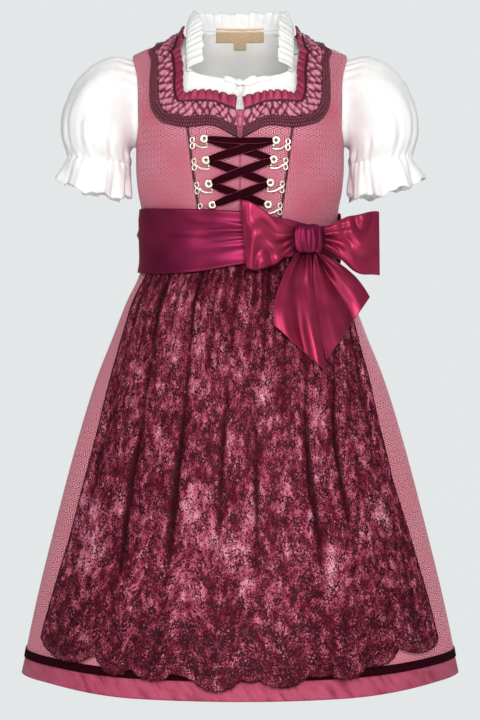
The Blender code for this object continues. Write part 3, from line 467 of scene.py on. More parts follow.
def laceGroundMaterial():
    # machine lace over a rose lining: a mid-toned net, crisp dark leaves and knots, painted glints, and nearly black
    # inside the folds, partly the lace lying double there and partly painted shade
    material, tree, shader = newMaterial("lace_ground", Roughness=0.75, Specular_IOR_Level=0.15,
                                         Specular_Tint=colour("ff90a8"))
    place, valley = clothPlace(tree), valleyDepth(tree)
    thin = addNode(tree, "Attribute", attribute_name="thin").outputs["Fac"]
    # how much of the lining shows through: more in the thin places, less inside the folds
    long = addNode(tree, "VectorMath", {0: place, 1: (1, 0.7, 1)}, operation="MULTIPLY")
    patches = addNode(tree, "TexNoise", {"Vector": long, "Scale": 1 / 11, "Detail": 2.5})
    broad = addNode(tree, "TexNoise", {"Vector": long, "Scale": 1 / 34, "Detail": 1.0})
    bare = addNode(tree, "Math", {0: valley, 1: -0.18, 2: patches}, operation="MULTIPLY_ADD")
    bare = addNode(tree, "Math", {0: thin, 1: 0.27, 2: bare}, operation="MULTIPLY_ADD")
    broad = addNode(tree, "Math", {0: broad, 1: 0.5, 2: -0.25}, operation="MULTIPLY_ADD")
    bare = addNode(tree, "Math", {0: bare, 1: broad}, operation="ADD")
    fine = addNode(tree, "TexNoise", {"Vector": place, "Scale": 1 / 2.4, "Roughness": 0.6})
    level = addNode(tree, "Math", {0: bare, 1: 0.12}, operation="SUBTRACT")
    level = addNode(tree, "Math", {0: fine, 1: 0.24, 2: level}, operation="MULTIPLY_ADD")
    net = addNode(tree, "ValToRGB", {"Fac": level}, [(0.34, "6c1c2c"), (0.47, "963c50"), (0.60, "b4566c"),
                                                     (0.74, "cc788e"), (0.9, "dc96a8")])
    # embroidery about 4 mm across, the size of its real leaves and knots
    stitches = addNode(tree, "TexNoise", {"Vector": place, "Scale": 1 / 4.3, "Detail": 1.0, "Distortion": 2.4})
    marks = addNode(tree, "Math", {0: stitches, 1: 0.1}, operation="ADD")
    marks = addNode(tree, "Math", {0: bare, 1: -0.2, 2: marks}, operation="MULTIPLY_ADD")
    share = addNode(tree, "ValToRGB", {"Fac": marks}, [(0.50, 0.0), (0.525, 0.94)])
    thread = addNode(tree, "ValToRGB", {"Fac": fine}, [(0.35, "28040c"), (0.6, "48101e"), (0.75, "6c2234")])
    tone = addNode(tree, "Mix", {0: share, 6: net, 7: thread}, data_type="RGBA").outputs[2]
    knots = addNode(tree, "TexVoronoi", {"Vector": place, "Scale": 1 / 3.4})
    share = addNode(tree, "ValToRGB", {"Fac": knots}, [(0.17, 0.85), (0.29, 0.0)])
    tone = addNode(tree, "Mix", {0: share, 6: tone, 7: "340814"}, data_type="RGBA").outputs[2]
    # painted glints: pale points on one in eight of the knots 6.5 mm apart
    glintCells = addNode(tree, "TexVoronoi", {"Vector": place, "Scale": 1 / 6.5}).outputs
    chance = addNode(tree, "SeparateXYZ", {0: glintCells["Color"]})
    chosen = addNode(tree, "Math", {0: chance, 1: 0.88}, operation="GREATER_THAN")
    spot = addNode(tree, "ValToRGB", {"Fac": glintCells["Distance"]}, [(0.10, 0.65), (0.17, 0.0)])
    lit = addNode(tree, "Math", {0: chosen, 1: spot}, operation="MULTIPLY")
    tone = addNode(tree, "Mix", {0: lit, 6: tone, 7: "f0bcc8"}, data_type="RGBA").outputs[2]
    # painted shade in the folds and a painted shadow below the sash, over the lace lying double there
    share = addNode(tree, "ValToRGB", {"Fac": valley}, [(0.25, 0.0), (0.95, 0.88)])
    tone = addNode(tree, "Mix", {0: share, 6: tone, 7: "26050d"}, data_type="RGBA").outputs[2]
    tree.links.new(tone, shader.inputs["Base Color"])
    height = addNode(tree, "Math", {0: stitches, 1: fine}, operation="SUBTRACT")
    addNode(tree, "Bump", {"Height": height, "Distance": 0.7 * mm}, feeds=shader.inputs["Normal"])
    return material


def laceCordMaterial():
    # glossy rayon outline cord of the embroidery, mottled in spots of about 6 mm, with painted shade inside the folds
    material, tree, shader = newMaterial("lace_cord", Roughness=0.5, Specular_IOR_Level=0.2,
                                         Specular_Tint=colour("ffb0c0"))
    where = addNode(tree, "TexCoord").outputs["Object"]
    mottle = addNode(tree, "TexNoise", {"Vector": where, "Scale": 160.0})
    tone = addNode(tree, "ValToRGB", {"Fac": mottle}, [(0.3, "1c030b"), (0.56, "3a0b18"), (0.76, "722a40")])
    share = addNode(tree, "ValToRGB", {"Fac": valleyDepth(tree)}, [(0.25, 0.0), (0.95, 0.9)])
    tone = addNode(tree, "Mix", {0: share, 6: tone, 7: "1c030a"}, data_type="RGBA").outputs[2]
    tree.links.new(tone, shader.inputs["Base Color"])
    addNode(tree, "Bump", {"Height": mottle, "Distance": 0.3 * mm}, feeds=shader.inputs["Normal"])
    return material


def pipingMaterial():
    # satin bias piping: a dark cord with a narrow sheen, mottled in spots of about 3 mm
    material, tree, shader = newMaterial("dark_piping", Roughness=0.45, Sheen_Weight=0.04,
                                         Sheen_Tint=colour("a04060"), Specular_IOR_Level=0.35)
    where = addNode(tree, "TexCoord").outputs["Object"]
    mottle = addNode(tree, "TexNoise", {"Vector": where, "Scale": 300.0})
    addNode(tree, "ValToRGB", {"Fac": mottle}, [(0.3, "2c0513"), (0.7, "4c1026")], shader.inputs["Base Color"])
    addNode(tree, "Bump", {"Height": mottle, "Distance": 0.2 * mm}, feeds=shader.inputs["Normal"])
    return material


def metalMaterial():
    # cast nickel silver: polished high spots and darkened hollows, in spots of about 2 mm
    material, tree, shader = newMaterial("silver_metal", Metallic=1.0, Roughness=0.3)
    where = addNode(tree, "TexCoord").outputs["Object"]
    tarnish = addNode(tree, "TexNoise", {"Vector": where, "Scale": 420.0, "Detail": 3.0})
    addNode(tree, "ValToRGB", {"Fac": tarnish}, [(0.25, "b8ae88"), (0.45, "ece6cc"), (0.65, "fffaf0")],
            shader.inputs["Base Color"])
    addNode(tree, "ValToRGB", {"Fac": tarnish}, [(0.3, 0.42), (0.6, 0.2)], shader.inputs["Roughness"])
    addNode(tree, "Bump", {"Height": tarnish, "Distance": 0.15 * mm}, feeds=shader.inputs["Normal"])
    return material


def mottledMaterial(name, low, high, rough, scale, **more):
    # a small hard or woven part with a fine mottle; scale is spots a metre
    material, tree, shader = newMaterial(name, Roughness=rough, **more)
    where = addNode(tree, "TexCoord").outputs["Object"]
    mottle = addNode(tree, "TexNoise", {"Vector": where, "Scale": scale, "Detail": 3.0})
    addNode(tree, "ValToRGB", {"Fac": mottle}, [(0.3, low), (0.7, high)], shader.inputs["Base Color"])
    addNode(tree, "Bump", {"Height": mottle, "Distance": 0.15 * mm}, feeds=shader.inputs["Normal"])
    return material


jacquard = jacquardMaterial("rose_jacquard", "ea9aab", "842c46", ("a0344f", "bc5067", "ce6c82"), 0.8)
skirtJacquard = jacquardMaterial("rose_jacquard_skirt", "fcaab6", "983650", ("b64760", "d4697e", "e88a98"), 0.4)
taffeta = taffetaMaterial()
velvet = velvetMaterial()
laceGround = laceGroundMaterial()
laceCord = laceCordMaterial()
satin = satinMaterial("raspberry_satin", "862240", "ae3557", 0.31, "f07c96", 0.55)
# painted shade: a darker copy of the bow's satin for the sash and the knot, which are the same ribbon
shadedSatin = satinMaterial("sash_satin", "661636", "8a2648", 0.33, "e8688c", 0.6)
frillSatin = satinMaterial("satin_frill", "822c46", "9c3a56", 0.42, "f08aa0", 0.3)
ruching = ruchingMaterial()
braid = braidMaterial()
piping = pipingMaterial()
cotton = cottonMaterial("white_cotton", "f7f7f5", "efefec")
# painted light: a brighter copy of the white cotton for the blouse back, whose inside lies in shade
brightenedCotton = cottonMaterial("cotton_inside", "fffffb", "fafaf5")
metal = metalMaterial()
# satin selvedge of a ribbon: one bright thin line along it
edgeSatin = mottledMaterial("ribbon_edge", "a8305c", "cc5078", 0.35, 300.0)
# moulded and dyed acetal: even, with a plastic gloss
zipRose = mottledMaterial("rose_zip", "b44a70", "cc6486", 0.35, 200.0)
# woven polyester tape: dull and a shade darker than the coils
zipTape = mottledMaterial("zip_tape", "8c3c56", "a85470", 0.7, 500.0)
# turned and polished shell: pale, with a wet gloss
pearl = mottledMaterial("pearl_button", "e6e0d6", "f6f2ea", 0.18, 90.0, Coat_Weight=0.6)
# woven acetate label tape: dull beige
labelWeave = mottledMaterial("beige_label", "c8a983", "dcc29e", 0.7, 600.0)
print("materials made")


# camera and light

# lens and sensor in mm, then how far in front of the origin and how high the camera stands, in mm
photoView = {"lens": 104.17, "sensor": 36, "away": 2500, "level": -399}
cameraData = bpy.data.cameras.new("photoCamera")
cameraData.lens = photoView["lens"]
cameraData.sensor_width = photoView["sensor"]
camera = bpy.data.objects.new("photoCamera", cameraData)
camera.location = (0, -photoView["away"] * mm, photoView["level"] * mm)
camera.rotation_euler = (math.radians(90), 0, 0)
bpy.context.scene.collection.objects.link(camera)
bpy.context.scene.camera = camera
bpy.context.scene.view_settings.view_transform = "Standard"

world = bpy.data.worlds.new("studio")
bpy.context.scene.world = world
world.use_nodes = True
worldTree = world.node_tree
# the camera sees a pale grey wall, while the cloth is lit by a dimmer white one
shown = addNode(worldTree, "Background", {"Color": "e3e7e8", "Strength": 1.0})
soft = addNode(worldTree, "Background", {"Color": "f2f4f6", "Strength": 0.36})
seen = addNode(worldTree, "LightPath").outputs["Is Camera Ray"]
surface = worldTree.nodes["World Output"].inputs["Surface"]
addNode(worldTree, "MixShader", {0: seen, 1: soft, 2: shown}, feeds=surface)

# light: place in m, what it looks at, width and height in m, watts
lightRows = [
    ("keyLight", (0.15, -2.6, 0.45), (0, 0, -0.35), 1.1, 0.9, 36),
    ("leftLight", (-1.5, -2.2, 0.3), (0, 0, -0.35), 0.7, 1.4, 12),
    ("rightLight", (1.5, -2.2, 0.3), (0, 0, -0.35), 0.7, 1.4, 12),
    ("lowLight", (0.0, -2.5, -1.0), (0, 0, -0.4), 1.6, 0.6, 9),
    ("backLight", (0.6, 2.2, 0.8), (0, 0, -0.3), 1.6, 1.6, 26),
]
for lightName, place, aim, width, height, watts in lightRows:
    lamp = bpy.data.lights.new(lightName, "AREA")
    lamp.shape = "RECTANGLE"
    lamp.size, lamp.size_y, lamp.energy = width, height, watts
    holder = bpy.data.objects.new(lightName, lamp)
    holder.location = place
    towards = Vector(np.array(aim) - np.array(place))
    holder.rotation_euler = towards.to_track_quat("-Z", "Y").to_euler()
    bpy.context.scene.collection.objects.link(holder)

# painted studio floor: matt and even
floorMaterial = mottledMaterial("pale_floor", "dfe3e4", "e5e9ea", 0.9, 2.0)
floorSize = {"left": -2500, "right": 2500, "front": -2600, "back": 1600, "level": -1250}
floorPoints = [(floorSize[side], floorSize[end], floorSize["level"])
               for side, end in (("left", "front"), ("right", "front"), ("right", "back"), ("left", "back"))]
floor = addMesh("floor", floorPoints, [[0, 1, 2, 3]], floorMaterial)
print("camera and light made")


# skirt, hem band and velvet ribbon

skirt = {"pleatDepth": 11.0, "sideRipple": 0.8, "frontWave": 1.3, "rows": 70, "ribbonAbove": 8.6, "ribbonBelow": 1,
         "seamAllowance": 1.6}  # the allowance is in degrees to each side of its seam


def skirtOut(angle, z):
    # ten pleats behind, soft ripples at the sides, a slight wave in front
    lean = np.abs((angle + 180) % 360 - 180)
    fall = ease((waistZ - z) / 240)
    behind = ease((lean - 96) / 22)
    pleats = (0.5 - 0.5 * np.cos(np.radians((lean - 90) * 20)))
    ripple = np.where(lean > 66, 0.5 - 0.5 * np.cos(np.radians((lean - 66) * 15)), 0)
    wave = skirt["frontWave"] * (0.5 + 0.5 * np.sin(np.radians(angle * 9 + 40 * np.sin(z / 150)))) * fall
    wave = wave * ease((90 - lean) / 10)
    slim = ease((lean - 40) / 40) * (1 - ease((lean - 95) / 20)) * mix(0.8, 2.0, ease((-480 - z) / 200)) * fall
    back = behind * pleats * mix(0.4, skirt["pleatDepth"], fall)
    return back + (1 - behind) * (ripple * skirt["sideRipple"] * fall + wave) - slim


def skirtPiece(name, angles, levels, material, out=0.0, thick=1.2):
    a, z = np.meshgrid(angles, levels)
    grid = onForm(a, z, skirtOut(a, z) + out)
    lean = np.abs((a + 180) % 360 - 180)
    # the hem rises a little at the sides
    raised = ease((-690 - z) / 60) * (3.4 + 2.8 * ease((bandZ - z) / (bandZ - hemZ)))
    grid[..., 2] += raised * ease((lean - 26) / 36) * (1 - ease((lean - 100) / 40))
    places = flatPlaces(grid)
    # the pattern closes up towards the gathered waist, and opens at the sides, which hang nearly flat
    gathered = np.sqrt(np.interp(-hemZ, depthSteps, formTable[0]) / np.interp(-z, depthSteps, formTable[0]))
    opened = 1 - 0.58 * ease((lean - 48) / 16) * (1 - ease((lean - 94) / 12))
    steps = np.diff(places[..., 0], axis=1, prepend=places[:, :1, 0]) * opened
    along = np.cumsum(steps, axis=1)
    places[..., 0] = (along - along[:, along.shape[1] // 2, None]) * gathered
    return addCloth(name, grid, material, thick, cloth=places)


frontAngles = np.linspace(-89.9, 89.9, 121)
backAngles = np.linspace(90.1, 269.9, 161)
levels = np.concatenate([np.linspace(waistZ - 0.3, -330, 22)[:-1],  # closer rows under the sash
                         np.linspace(-330, bandZ + 0.3, skirt["rows"] - 21)])
for place, angles in (("front", frontAngles), ("back", backAngles)):
    panel = wear(skirtPiece("skirt_cloth_" + place, angles, levels, skirtJacquard), "rose_jacquard", "skirt_" + place)
    band = wear(skirtPiece("hem_cloth_" + place, angles, np.linspace(bandZ - 0.3, hemZ, 9), taffeta),
                "raspberry_taffeta", "hem_band_" + place)
    ribbonLevels = np.linspace(bandZ + skirt["ribbonAbove"], bandZ - skirt["ribbonBelow"], 5)
    ribbon = wear(skirtPiece("velvet_ribbon_" + place, angles, ribbonLevels, velvet, 1.3, 0.9),
                  "dark_velvet", "velvet_hem_" + place)
    allowances = []
    if place == "front":
        for side, seamAngle in (("left", -90), ("right", 90)):
            across = seamAngle + np.linspace(-skirt["seamAllowance"], skirt["seamAllowance"], 5)
            inner = skirtPiece("seam_allowance_" + side, across, levels, skirtJacquard, -1.3, 0.5)
            lowerLevels = np.linspace(bandZ + 3, hemZ + 0.5, 7)
            lower = skirtPiece("hem_allowance_" + side, across, lowerLevels, taffeta, -1.3, 0.5)
            allowances += [wear(inner, "rose_jacquard"), wear(lower, "raspberry_taffeta")]
    width = 0.76 if place == "front" else 0.80
print("skirt made")


# bodice panels

def smoothRows(table, steps):
    # more rows between the rows of a table, along a soft curve
    table = np.array(table, float)
    place = np.linspace(0, len(table) - 1, steps)
    return np.stack([soften(np.interp(place, np.arange(len(table)), column), steps / len(table) * 0.28)
                     for column in table.T], -1)


sideFrontRows = [
    (71, -3.4, 0, -36.3), (71.5, -5.5, 3, -38), (72.6, -15, 9.5, -45), (74, -30, 14.5, -54),
    (75.5, -60, 19.5, -75), (75.5, -84, 20.5, -98), (72, -98.5, 18.5, -120), (60.7, -130, 11, -137),
    (58.5, -145, 0.1, -145), (55.1, -175, 0.1, -176), (49, -217, 0.1, -217), (44, -254.7, 0.1, -254.7),
]
sideBackRows = [
    (71, -3.4, 0, -36.3), (71.2, -5.5, 3, -38), (71, -14, 8.8, -43.5), (70, -22, 14.5, -54), (62, -30, 19.5, -75),
    (60, -62, 20.5, -98), (57, -95, 18.5, -120), (54, -125, 11, -137), (52, -145, 0.1, -145),
    (48, -175, 0.1, -176), (43, -215, 0.1, -217), (40, -254.7, 0.1, -254.7),
]
neckStations = [  # neck edge x, z, outer braid edge x, z, face
    (5.0, -108, 0.8, -142, -1), (30, -98, 30, -125.5, -1), (55, -97.5, 62, -129.5, -1), (72, -98.5, 92, -121, -1),
    (75.5, -84, 103.5, -104, -1), (75, -60, 104.5, -76, -1), (73, -30, 102.5, -44, -1), (70, -10, 97.5, -27, -1),
    (69, -2.3, 93, -15.9, 0), (69, -12, 93, -30, 1), (68, -22, 93, -47, 1), (62, -30, 87, -64, 1),
    (32, -33, 45, -72, 1), (0.6, -34, 0.6, -74, 1),
]


def sidePanel(name, table, face, side, seamFrom):
    # strap, armhole and side seam in one, from the princess seam outwards
    rows, columns = 110, 26
    near, far = [], []
    for i, (x, z, lean, edgeZ) in enumerate(table):
        nearAngle = 90 if i == 0 else float(angleOf(x + (0.6 if i >= seamFrom else 0), z))
        nearAngle, farAngle = min(nearAngle, 90 - (0.25 if i == 0 else 0)), 90 - max(lean, 0.25 if i == 0 else 0)
        if face > 0:
            nearAngle, farAngle = 180 - nearAngle, 180 - farAngle
        near.append((nearAngle, z))
        far.append((farAngle, edgeZ))
    near, far = smoothRows(near, rows), smoothRows(far, rows)
    share = np.linspace(0, 1, columns)[None, :, None]
    places = mix(near[:, None], far[:, None], share)
    a, z = places[..., 0], places[..., 1]
    crease = 0.7 * bump(z, -235, 9) * np.sin(a / 3.5) + 0.5 * np.sin(a / 7 + z / 24) * ease((-z - 120) / 40)
    grid = onForm(a * side, z, crease * 0.5)
    cloth = np.stack([formPoint(a, z)[..., 0] * 1.25, -z], -1)
    return addCloth(name, grid, jacquard, 1.2, cloth=cloth, flip=side * face > 0)


for side, place in sideNames.items():
    front = wear(sidePanel("side_front_cloth_" + place, sideFrontRows, -1, side, 6), "rose_jacquard",
                 "bodice_side_front_" + place)
    back = wear(sidePanel("side_back_cloth_" + place, sideBackRows, 1, side, 4), "rose_jacquard",
                "bodice_side_back_" + place)


def centreFront(side):
    rows, columns = 70, 24
    top = np.array([(float(angleOf(x, z)), z) for x, z, _, _, _ in neckStations[:4]])
    seam = smoothRows([(float(angleOf(x - 0.6, z)), z) for x, z, _, _ in sideFrontRows[6:]], rows)
    share = np.linspace(0, 1, columns)
    spread = np.linspace(0, 3, columns)
    topAngle = np.interp(spread, np.arange(4), top[:, 0])
    topZ = soften(np.interp(spread, np.arange(4), top[:, 1]), 1.2)
    levels = np.linspace(top[0, 1], waistZ + 0.3, rows)
    down = np.linspace(0, 1, rows)[:, None]
    straight = mix(topZ[0], topZ[-1], share)[None]
    z = mix(levels[:, None], seam[:, 1:2], share[None]) + (topZ[None] - straight) * (1 - down) ** 2
    closure = angleOf(np.full_like(z, 0.5), z)
    a = mix(closure, seam[:, :1], share[None])
    a[0] = np.minimum(topAngle, seam[0, 0])
    grid = onForm(a * side, z, 0.25 * np.sin(z / 11) * share[None])
    cloth = np.stack([formPoint(a, z)[..., 0], -z], -1)
    return addCloth("front_cloth_" + sideNames[side], grid, jacquard, 1.2, cloth=cloth, flip=side < 0)


def centreBack():
    rows, columns = 60, 61
    table = [(x - 0.6, z) for x, z, _, _ in sideBackRows[4:]]
    edge = smoothRows([(float(angleOf(x, z, 1)), z) for x, z in table], rows)
    across = np.linspace(-1, 1, columns)[None]
    dips = np.interp(np.linspace(0, 7, rows), [0, 1, 2, 3, 7], [-4, -2.5, -1, 0, 0])[:, None]
    a = 180 + (180 - edge[:, :1]) * across
    z = edge[:, 1:2] + dips * (1 - across ** 2)
    grid = onForm(a, z, 0.4 * np.sin(a / 5 + z / 30) * ease((-z - 90) / 60))
    cloth = np.stack([-formPoint(a, z)[..., 0], -z], -1)
    return addCloth("back_cloth", grid, jacquard, 1.2, cloth=cloth)


for side, place in sideNames.items():
    front = wear(centreFront(side), "rose_jacquard", "bodice_front_" + place)
    seamPath = smoothRows([(61.6, -125)] + [(x, z) for x, z, _, _ in sideFrontRows[7:]], 60)[:-2]
    seamAngle = angleOf(seamPath[:, 0], seamPath[:, 1])
    cord = onForm(seamAngle * side, seamPath[:, 1], 1.0)
    seam = addTubes("princess_piping_" + place, [cord], 1.1, piping)
    wear(seam, "burgundy_braid", "piping_" + place)
back = wear(centreBack(), "rose_jacquard", "bodice_back")
print("bodice made")


# neck trims: ruffle, piping, ruching, braid

stationPlace = np.arange(len(neckStations))
finePlace = np.linspace(0, len(neckStations) - 1, 2601)
stationColumns = np.array([(float(angleOf(x, z, face)), z, float(angleOf(outerX, outerZ, face)), outerZ)
                           for x, z, outerX, outerZ, face in neckStations])
fineColumns = [soften(np.interp(finePlace, stationPlace, column), 46) for column in stationColumns.T]


def neckPlaces(share, place):
    # angle and height on the neck trims; share 0 is the neck edge and 1 the braid's outer edge
    values = [np.interp(place, finePlace, column) for column in fineColumns]
    return mix(values[0], values[2], share), mix(values[1], values[3], share)


def neckSteps(share, step):
    # stations spaced evenly along the neck, step mm apart, and their distance from the front centre
    a, z = neckPlaces(share, finePlace)
    line = onForm(a, z)
    length = np.concatenate([[0], np.cumsum(np.linalg.norm(np.diff(line, axis=0), axis=-1))])
    count = int(length[-1] / step)
    spread = np.linspace(0, length[-1], count)
    return np.interp(spread, length, finePlace), spread


# pitches and depths in mm, cords across the braid
trims = {"rufflePitch": 9.4, "ruffleDeep": 12.4, "ruffleShallow": 10.2, "ruchingPitch": 9.0, "braidRows": 3,
         "braidPlait": 2.1}


def neckRuffle(side):
    place, length = neckSteps(0.0, 0.9)
    across = np.linspace(0, 1, 11)
    a, z = neckPlaces(0.0, place)
    ai, zi = neckPlaces(-0.34, place)
    base, inward, normal = onForm(a, z, 1.0), onForm(ai, zi, 1.0), formNormal(a, z)
    reach = unit(inward - base)
    for axis in range(3):
        reach[:, axis] = soften(reach[:, axis], 5)
    reach = unit(reach)
    middle = 1 - ease(length / 26)
    reach[:, 0] -= 0.30 * middle
    reach = unit(reach)
    phase = np.pi * length / trims["rufflePitch"] + 0.9 * wander(length, 19, 3 + side)
    lobe = np.abs(np.sin(phase)) ** 0.55
    small = np.sin(phase * 2.6 + 2 * wander(length, 12, 40 + side))
    depth = mix(trims["ruffleShallow"], trims["ruffleDeep"], np.exp(-(length / 95) ** 4)) + 1.6 * middle
    depth = depth + 2.4 * (lobe - 0.7) + 0.7 * wander(length, 15, 8 + side)
    w = across[None]
    tangent = unit(np.gradient(base, axis=0))
    height = 0.9 + 1.7 * w ** 0.8 + (3.0 * (lobe - 0.55) + 0.5 * small)[:, None] * w ** 0.9
    grid = base[:, None] + reach[:, None] * (depth[:, None] * w)[..., None] + normal[:, None] * height[..., None]
    grid = grid + tangent[:, None] * (0.8 * np.cos(2 * phase)[:, None] * w)[..., None]
    grid[..., 0] *= side
    grid[..., 0] = np.where(side * grid[..., 0] < 1.2, side * 1.2, grid[..., 0])
    # painted shade between the lobes, stronger towards the free edge
    valley = np.clip(1.25 - 1.7 * lobe[:, None] + 0.25 * small[:, None], 0, 1) * (0.4 + 0.6 * w)
    piece = addCloth("ruffle_cloth_" + sideNames[side], grid, frillSatin, 0.5, shade=valley, flip=side < 0)
    cordA, cordZ = neckPlaces(0.03, place)
    cord = onForm(cordA * side, cordZ, 2.6)
    return piece, cord


def neckBand(name, side, start, end, columns, step, heightOf, material, thick):
    place, length = neckSteps((start + end) / 2, step)
    place, length = place[1:], length[1:]
    across = np.linspace(0, 1, columns)
    a, z = neckPlaces(mix(start, end, across)[None], place[:, None])
    height, valley = heightOf(length[:, None], across[None])
    grid = onForm(a * side, z, height)
    valley = np.broadcast_to(valley, a.shape)
    cloth = np.stack(np.broadcast_arrays(across[None] * 20.0, length[:, None]), -1)
    return addCloth(name, grid, material, thick, shade=valley, cloth=cloth, flip=side < 0)


def ruchingHeight(length, across):
    s = length / trims["ruchingPitch"] + 0.20 * wander(length, 10, 21)
    t = across * 2 - 1
    lean = 0.62 + 0.20 * wander(length, 8, 33)
    first, second = s + lean * t + 0.25, s - lean * t - 0.25
    puff = (np.abs(np.sin(np.pi * first)) * np.abs(np.sin(np.pi * second))) ** 0.5
    draw = np.random.default_rng(12).uniform(-1, 1, 997)
    tilt = draw[(np.floor(first).astype(int) * 31 + np.floor(second).astype(int) * 7) % 997]
    flap = np.where(tilt > 0, first, second) % 1  # each puff folds over to one side, with a sharp lip
    lip = np.clip(flap * 1.25, 0, 1) * np.where(flap > 0.8, 1 - (flap - 0.8) * 5, 1)
    crease = 1 - np.abs(np.sin(np.pi * (1.7 * first + 0.9 * second) + 3 * tilt))
    # the valley share is painted light and shade: dark between the puffs and in the creases, light on the lips, each
    # puff a little lighter or darker by its tilt
    valley = np.clip(1.2 - 0.95 * puff - 0.8 * lip + 0.3 * tilt + 0.5 * crease ** 3, 0, 1)
    height = 2.0 * puff + (1.4 + 1.6 * tilt) * lip * puff ** 0.5 - 0.8 * crease ** 3
    return 1.2 + height * (0.5 + 0.5 * (1 - np.abs(t) ** 4)), valley


def braidHeight(length, across):
    cords = np.abs(np.sin(np.pi * across * trims["braidRows"]))
    knots = 0.25 * np.sin(2 * np.pi * (length / trims["braidPlait"] + across * 4.0))
    # the valley share is painted shade between the cords
    return 1.9 + 1.7 * cords ** 0.7 + knots * cords, np.clip(0.9 - 1.4 * cords, 0, 0.85)


for side, place in sideNames.items():
    ruffle, cord = neckRuffle(side)
    wear(ruffle, "satin_frill", "neck_ruffle_" + place)
    edge = wear(addTubes("neck_piping_" + place, [cord[::2]], 1.35, piping), "burgundy_braid")
    fold = neckBand("ruching_cloth_" + place, side, 0.06, 0.61, 20, 1.0, ruchingHeight, ruching, 0.6)
    wear(fold, "rose_ruching", "ruching_" + place)
    trim = neckBand("braid_cord_" + place, side, 0.63, 1.0, 13, 1.2, braidHeight, braid, 0.9)
    wear(trim, "burgundy_braid", "braid_" + place)
print("neck trims made")


# blouse

# pitches of the gathers in mm, gathers round a sleeve, how far its frill drops in front and behind
blouse = {"frontGather": 7.5, "backGather": 11, "frillPitch": 9.6, "sleeveGathers": 26, "sleeveDrop": (10.5, 7.0)}


def blouseFace(z):
    # how far under the form's face the blouse lies, deeper below the bodice's edge
    return -4.1 - 2.4 * ease((z + 80) / 30)


blouseFrontRows = [
    (59, 3.4, 0, -36.3), (59.6, 1.6, 4, -38.5), (60, -6, 9.5, -44), (60, -20, 12.5, -54), (59, -42, 16, -75),
    (57, -60, 17, -92), (31, -65.5, 16, -110), (3, -69.5, 12, -130), (0.5, -100, 8, -139), (0.5, -130, 0.1, -145),
    (0.5, -180, 0.1, -185), (0.5, -228, 0.1, -228),
]
blouseBackRows = [(3.4, 0), (-10, 0), (-22, 0), (-36.3, 0), (-42, 8), (-54, 12.5), (-75, 16), (-92, 17), (-110, 16),
                  (-130, 12), (-145, 0.1), (-185, 0.1), (-228, 0.1)]


def blouseFront(side):
    rows, columns = 110, 44
    near = [(89.75 if i == 0 else float(angleOf(x, z)), z) for i, (x, z, _, _) in enumerate(blouseFrontRows)]
    far = [(90 - max(lean, 0.25 if i == 0 else 0), z) for i, (_, _, lean, z) in enumerate(blouseFrontRows)]
    near, far = smoothRows(near, rows), smoothRows(far, rows)
    places = mix(near[:, None], far[:, None], np.linspace(0, 1, columns)[None, :, None])
    a, z = places[..., 0], places[..., 1]
    x = formPoint(a, z)[..., 0]
    below = ease((-z - 60) / 12) * ease((165 + z) / 60)
    gathers = 0.9 * np.sin(2 * np.pi * (x + 3 * wander(x, 17, 5 + side)) / blouse["frontGather"]) * below
    grid = onForm(a * side, z, blouseFace(z) + gathers * 0.9 - 0.3)
    piece = addCloth("blouse_cloth_" + sideNames[side], grid, cotton, 0.8, flip=side < 0)
    return wear(piece, "white_cotton", "blouse_front_" + sideNames[side])


def blouseBack():
    rows, columns = 80, 110
    table = smoothRows([(90 + max(lean, 0.25), z) for z, lean in blouseBackRows], rows)
    share = np.linspace(0, 1, columns)[None]
    a = mix(table[:, :1], 360 - table[:, :1], share)
    z = np.broadcast_to(table[:, 1:2], a.shape)
    x = formPoint(a, z)[..., 0]
    gathers = 0.8 * np.sin(2 * np.pi * x / blouse["backGather"] + 2 * wander(x, 23, 9)) * ease((40 + z) / 40)
    grid = onForm(a, z, blouseFace(z) - 0.4 + gathers * 0.5)
    for column in range(columns):  # rounds the turn below the shoulder
        for axis in range(3):
            grid[:, column, axis] = soften(grid[:, column, axis], 4.5)
    # the back takes the brighter copy of the cotton, painted light on its shaded inside
    piece = addCloth("blouse_cloth_back", grid, brightenedCotton, 0.8)
    return wear(piece, "white_cotton", "blouse_back")


def frontPlacket():
    # closes the slit between the two front edges
    z, x = np.meshgrid(np.linspace(-72, -140, 40), np.linspace(-7, 7, 7), indexing="ij")
    grid = onForm(angleOf(x, z), z, blouseFace(z) - 2.0)
    return wear(addCloth("blouse_placket", grid, cotton, 0.6), "white_cotton")


placket = frontPlacket()
for side, place in sideNames.items():
    front = blouseFront(side)
back = blouseBack()

# neck frill: foot x, z, face, then crest x, y, z
frillStations = [
    (57, -60, -1, 43, -70, -51), (59, -42, -1, 44, -60, -33), (60, -20, -1, 45, -40, -9), (60, -3, -1, 47, -20, 11),
    (59, 3.4, 0, 52, 2, 20), (52, 3.4, 1, 60, 26, 23), (33, 3.4, 1, 36, 40, 24), (0, 3.4, 1, 0, 43, 24.5),
]


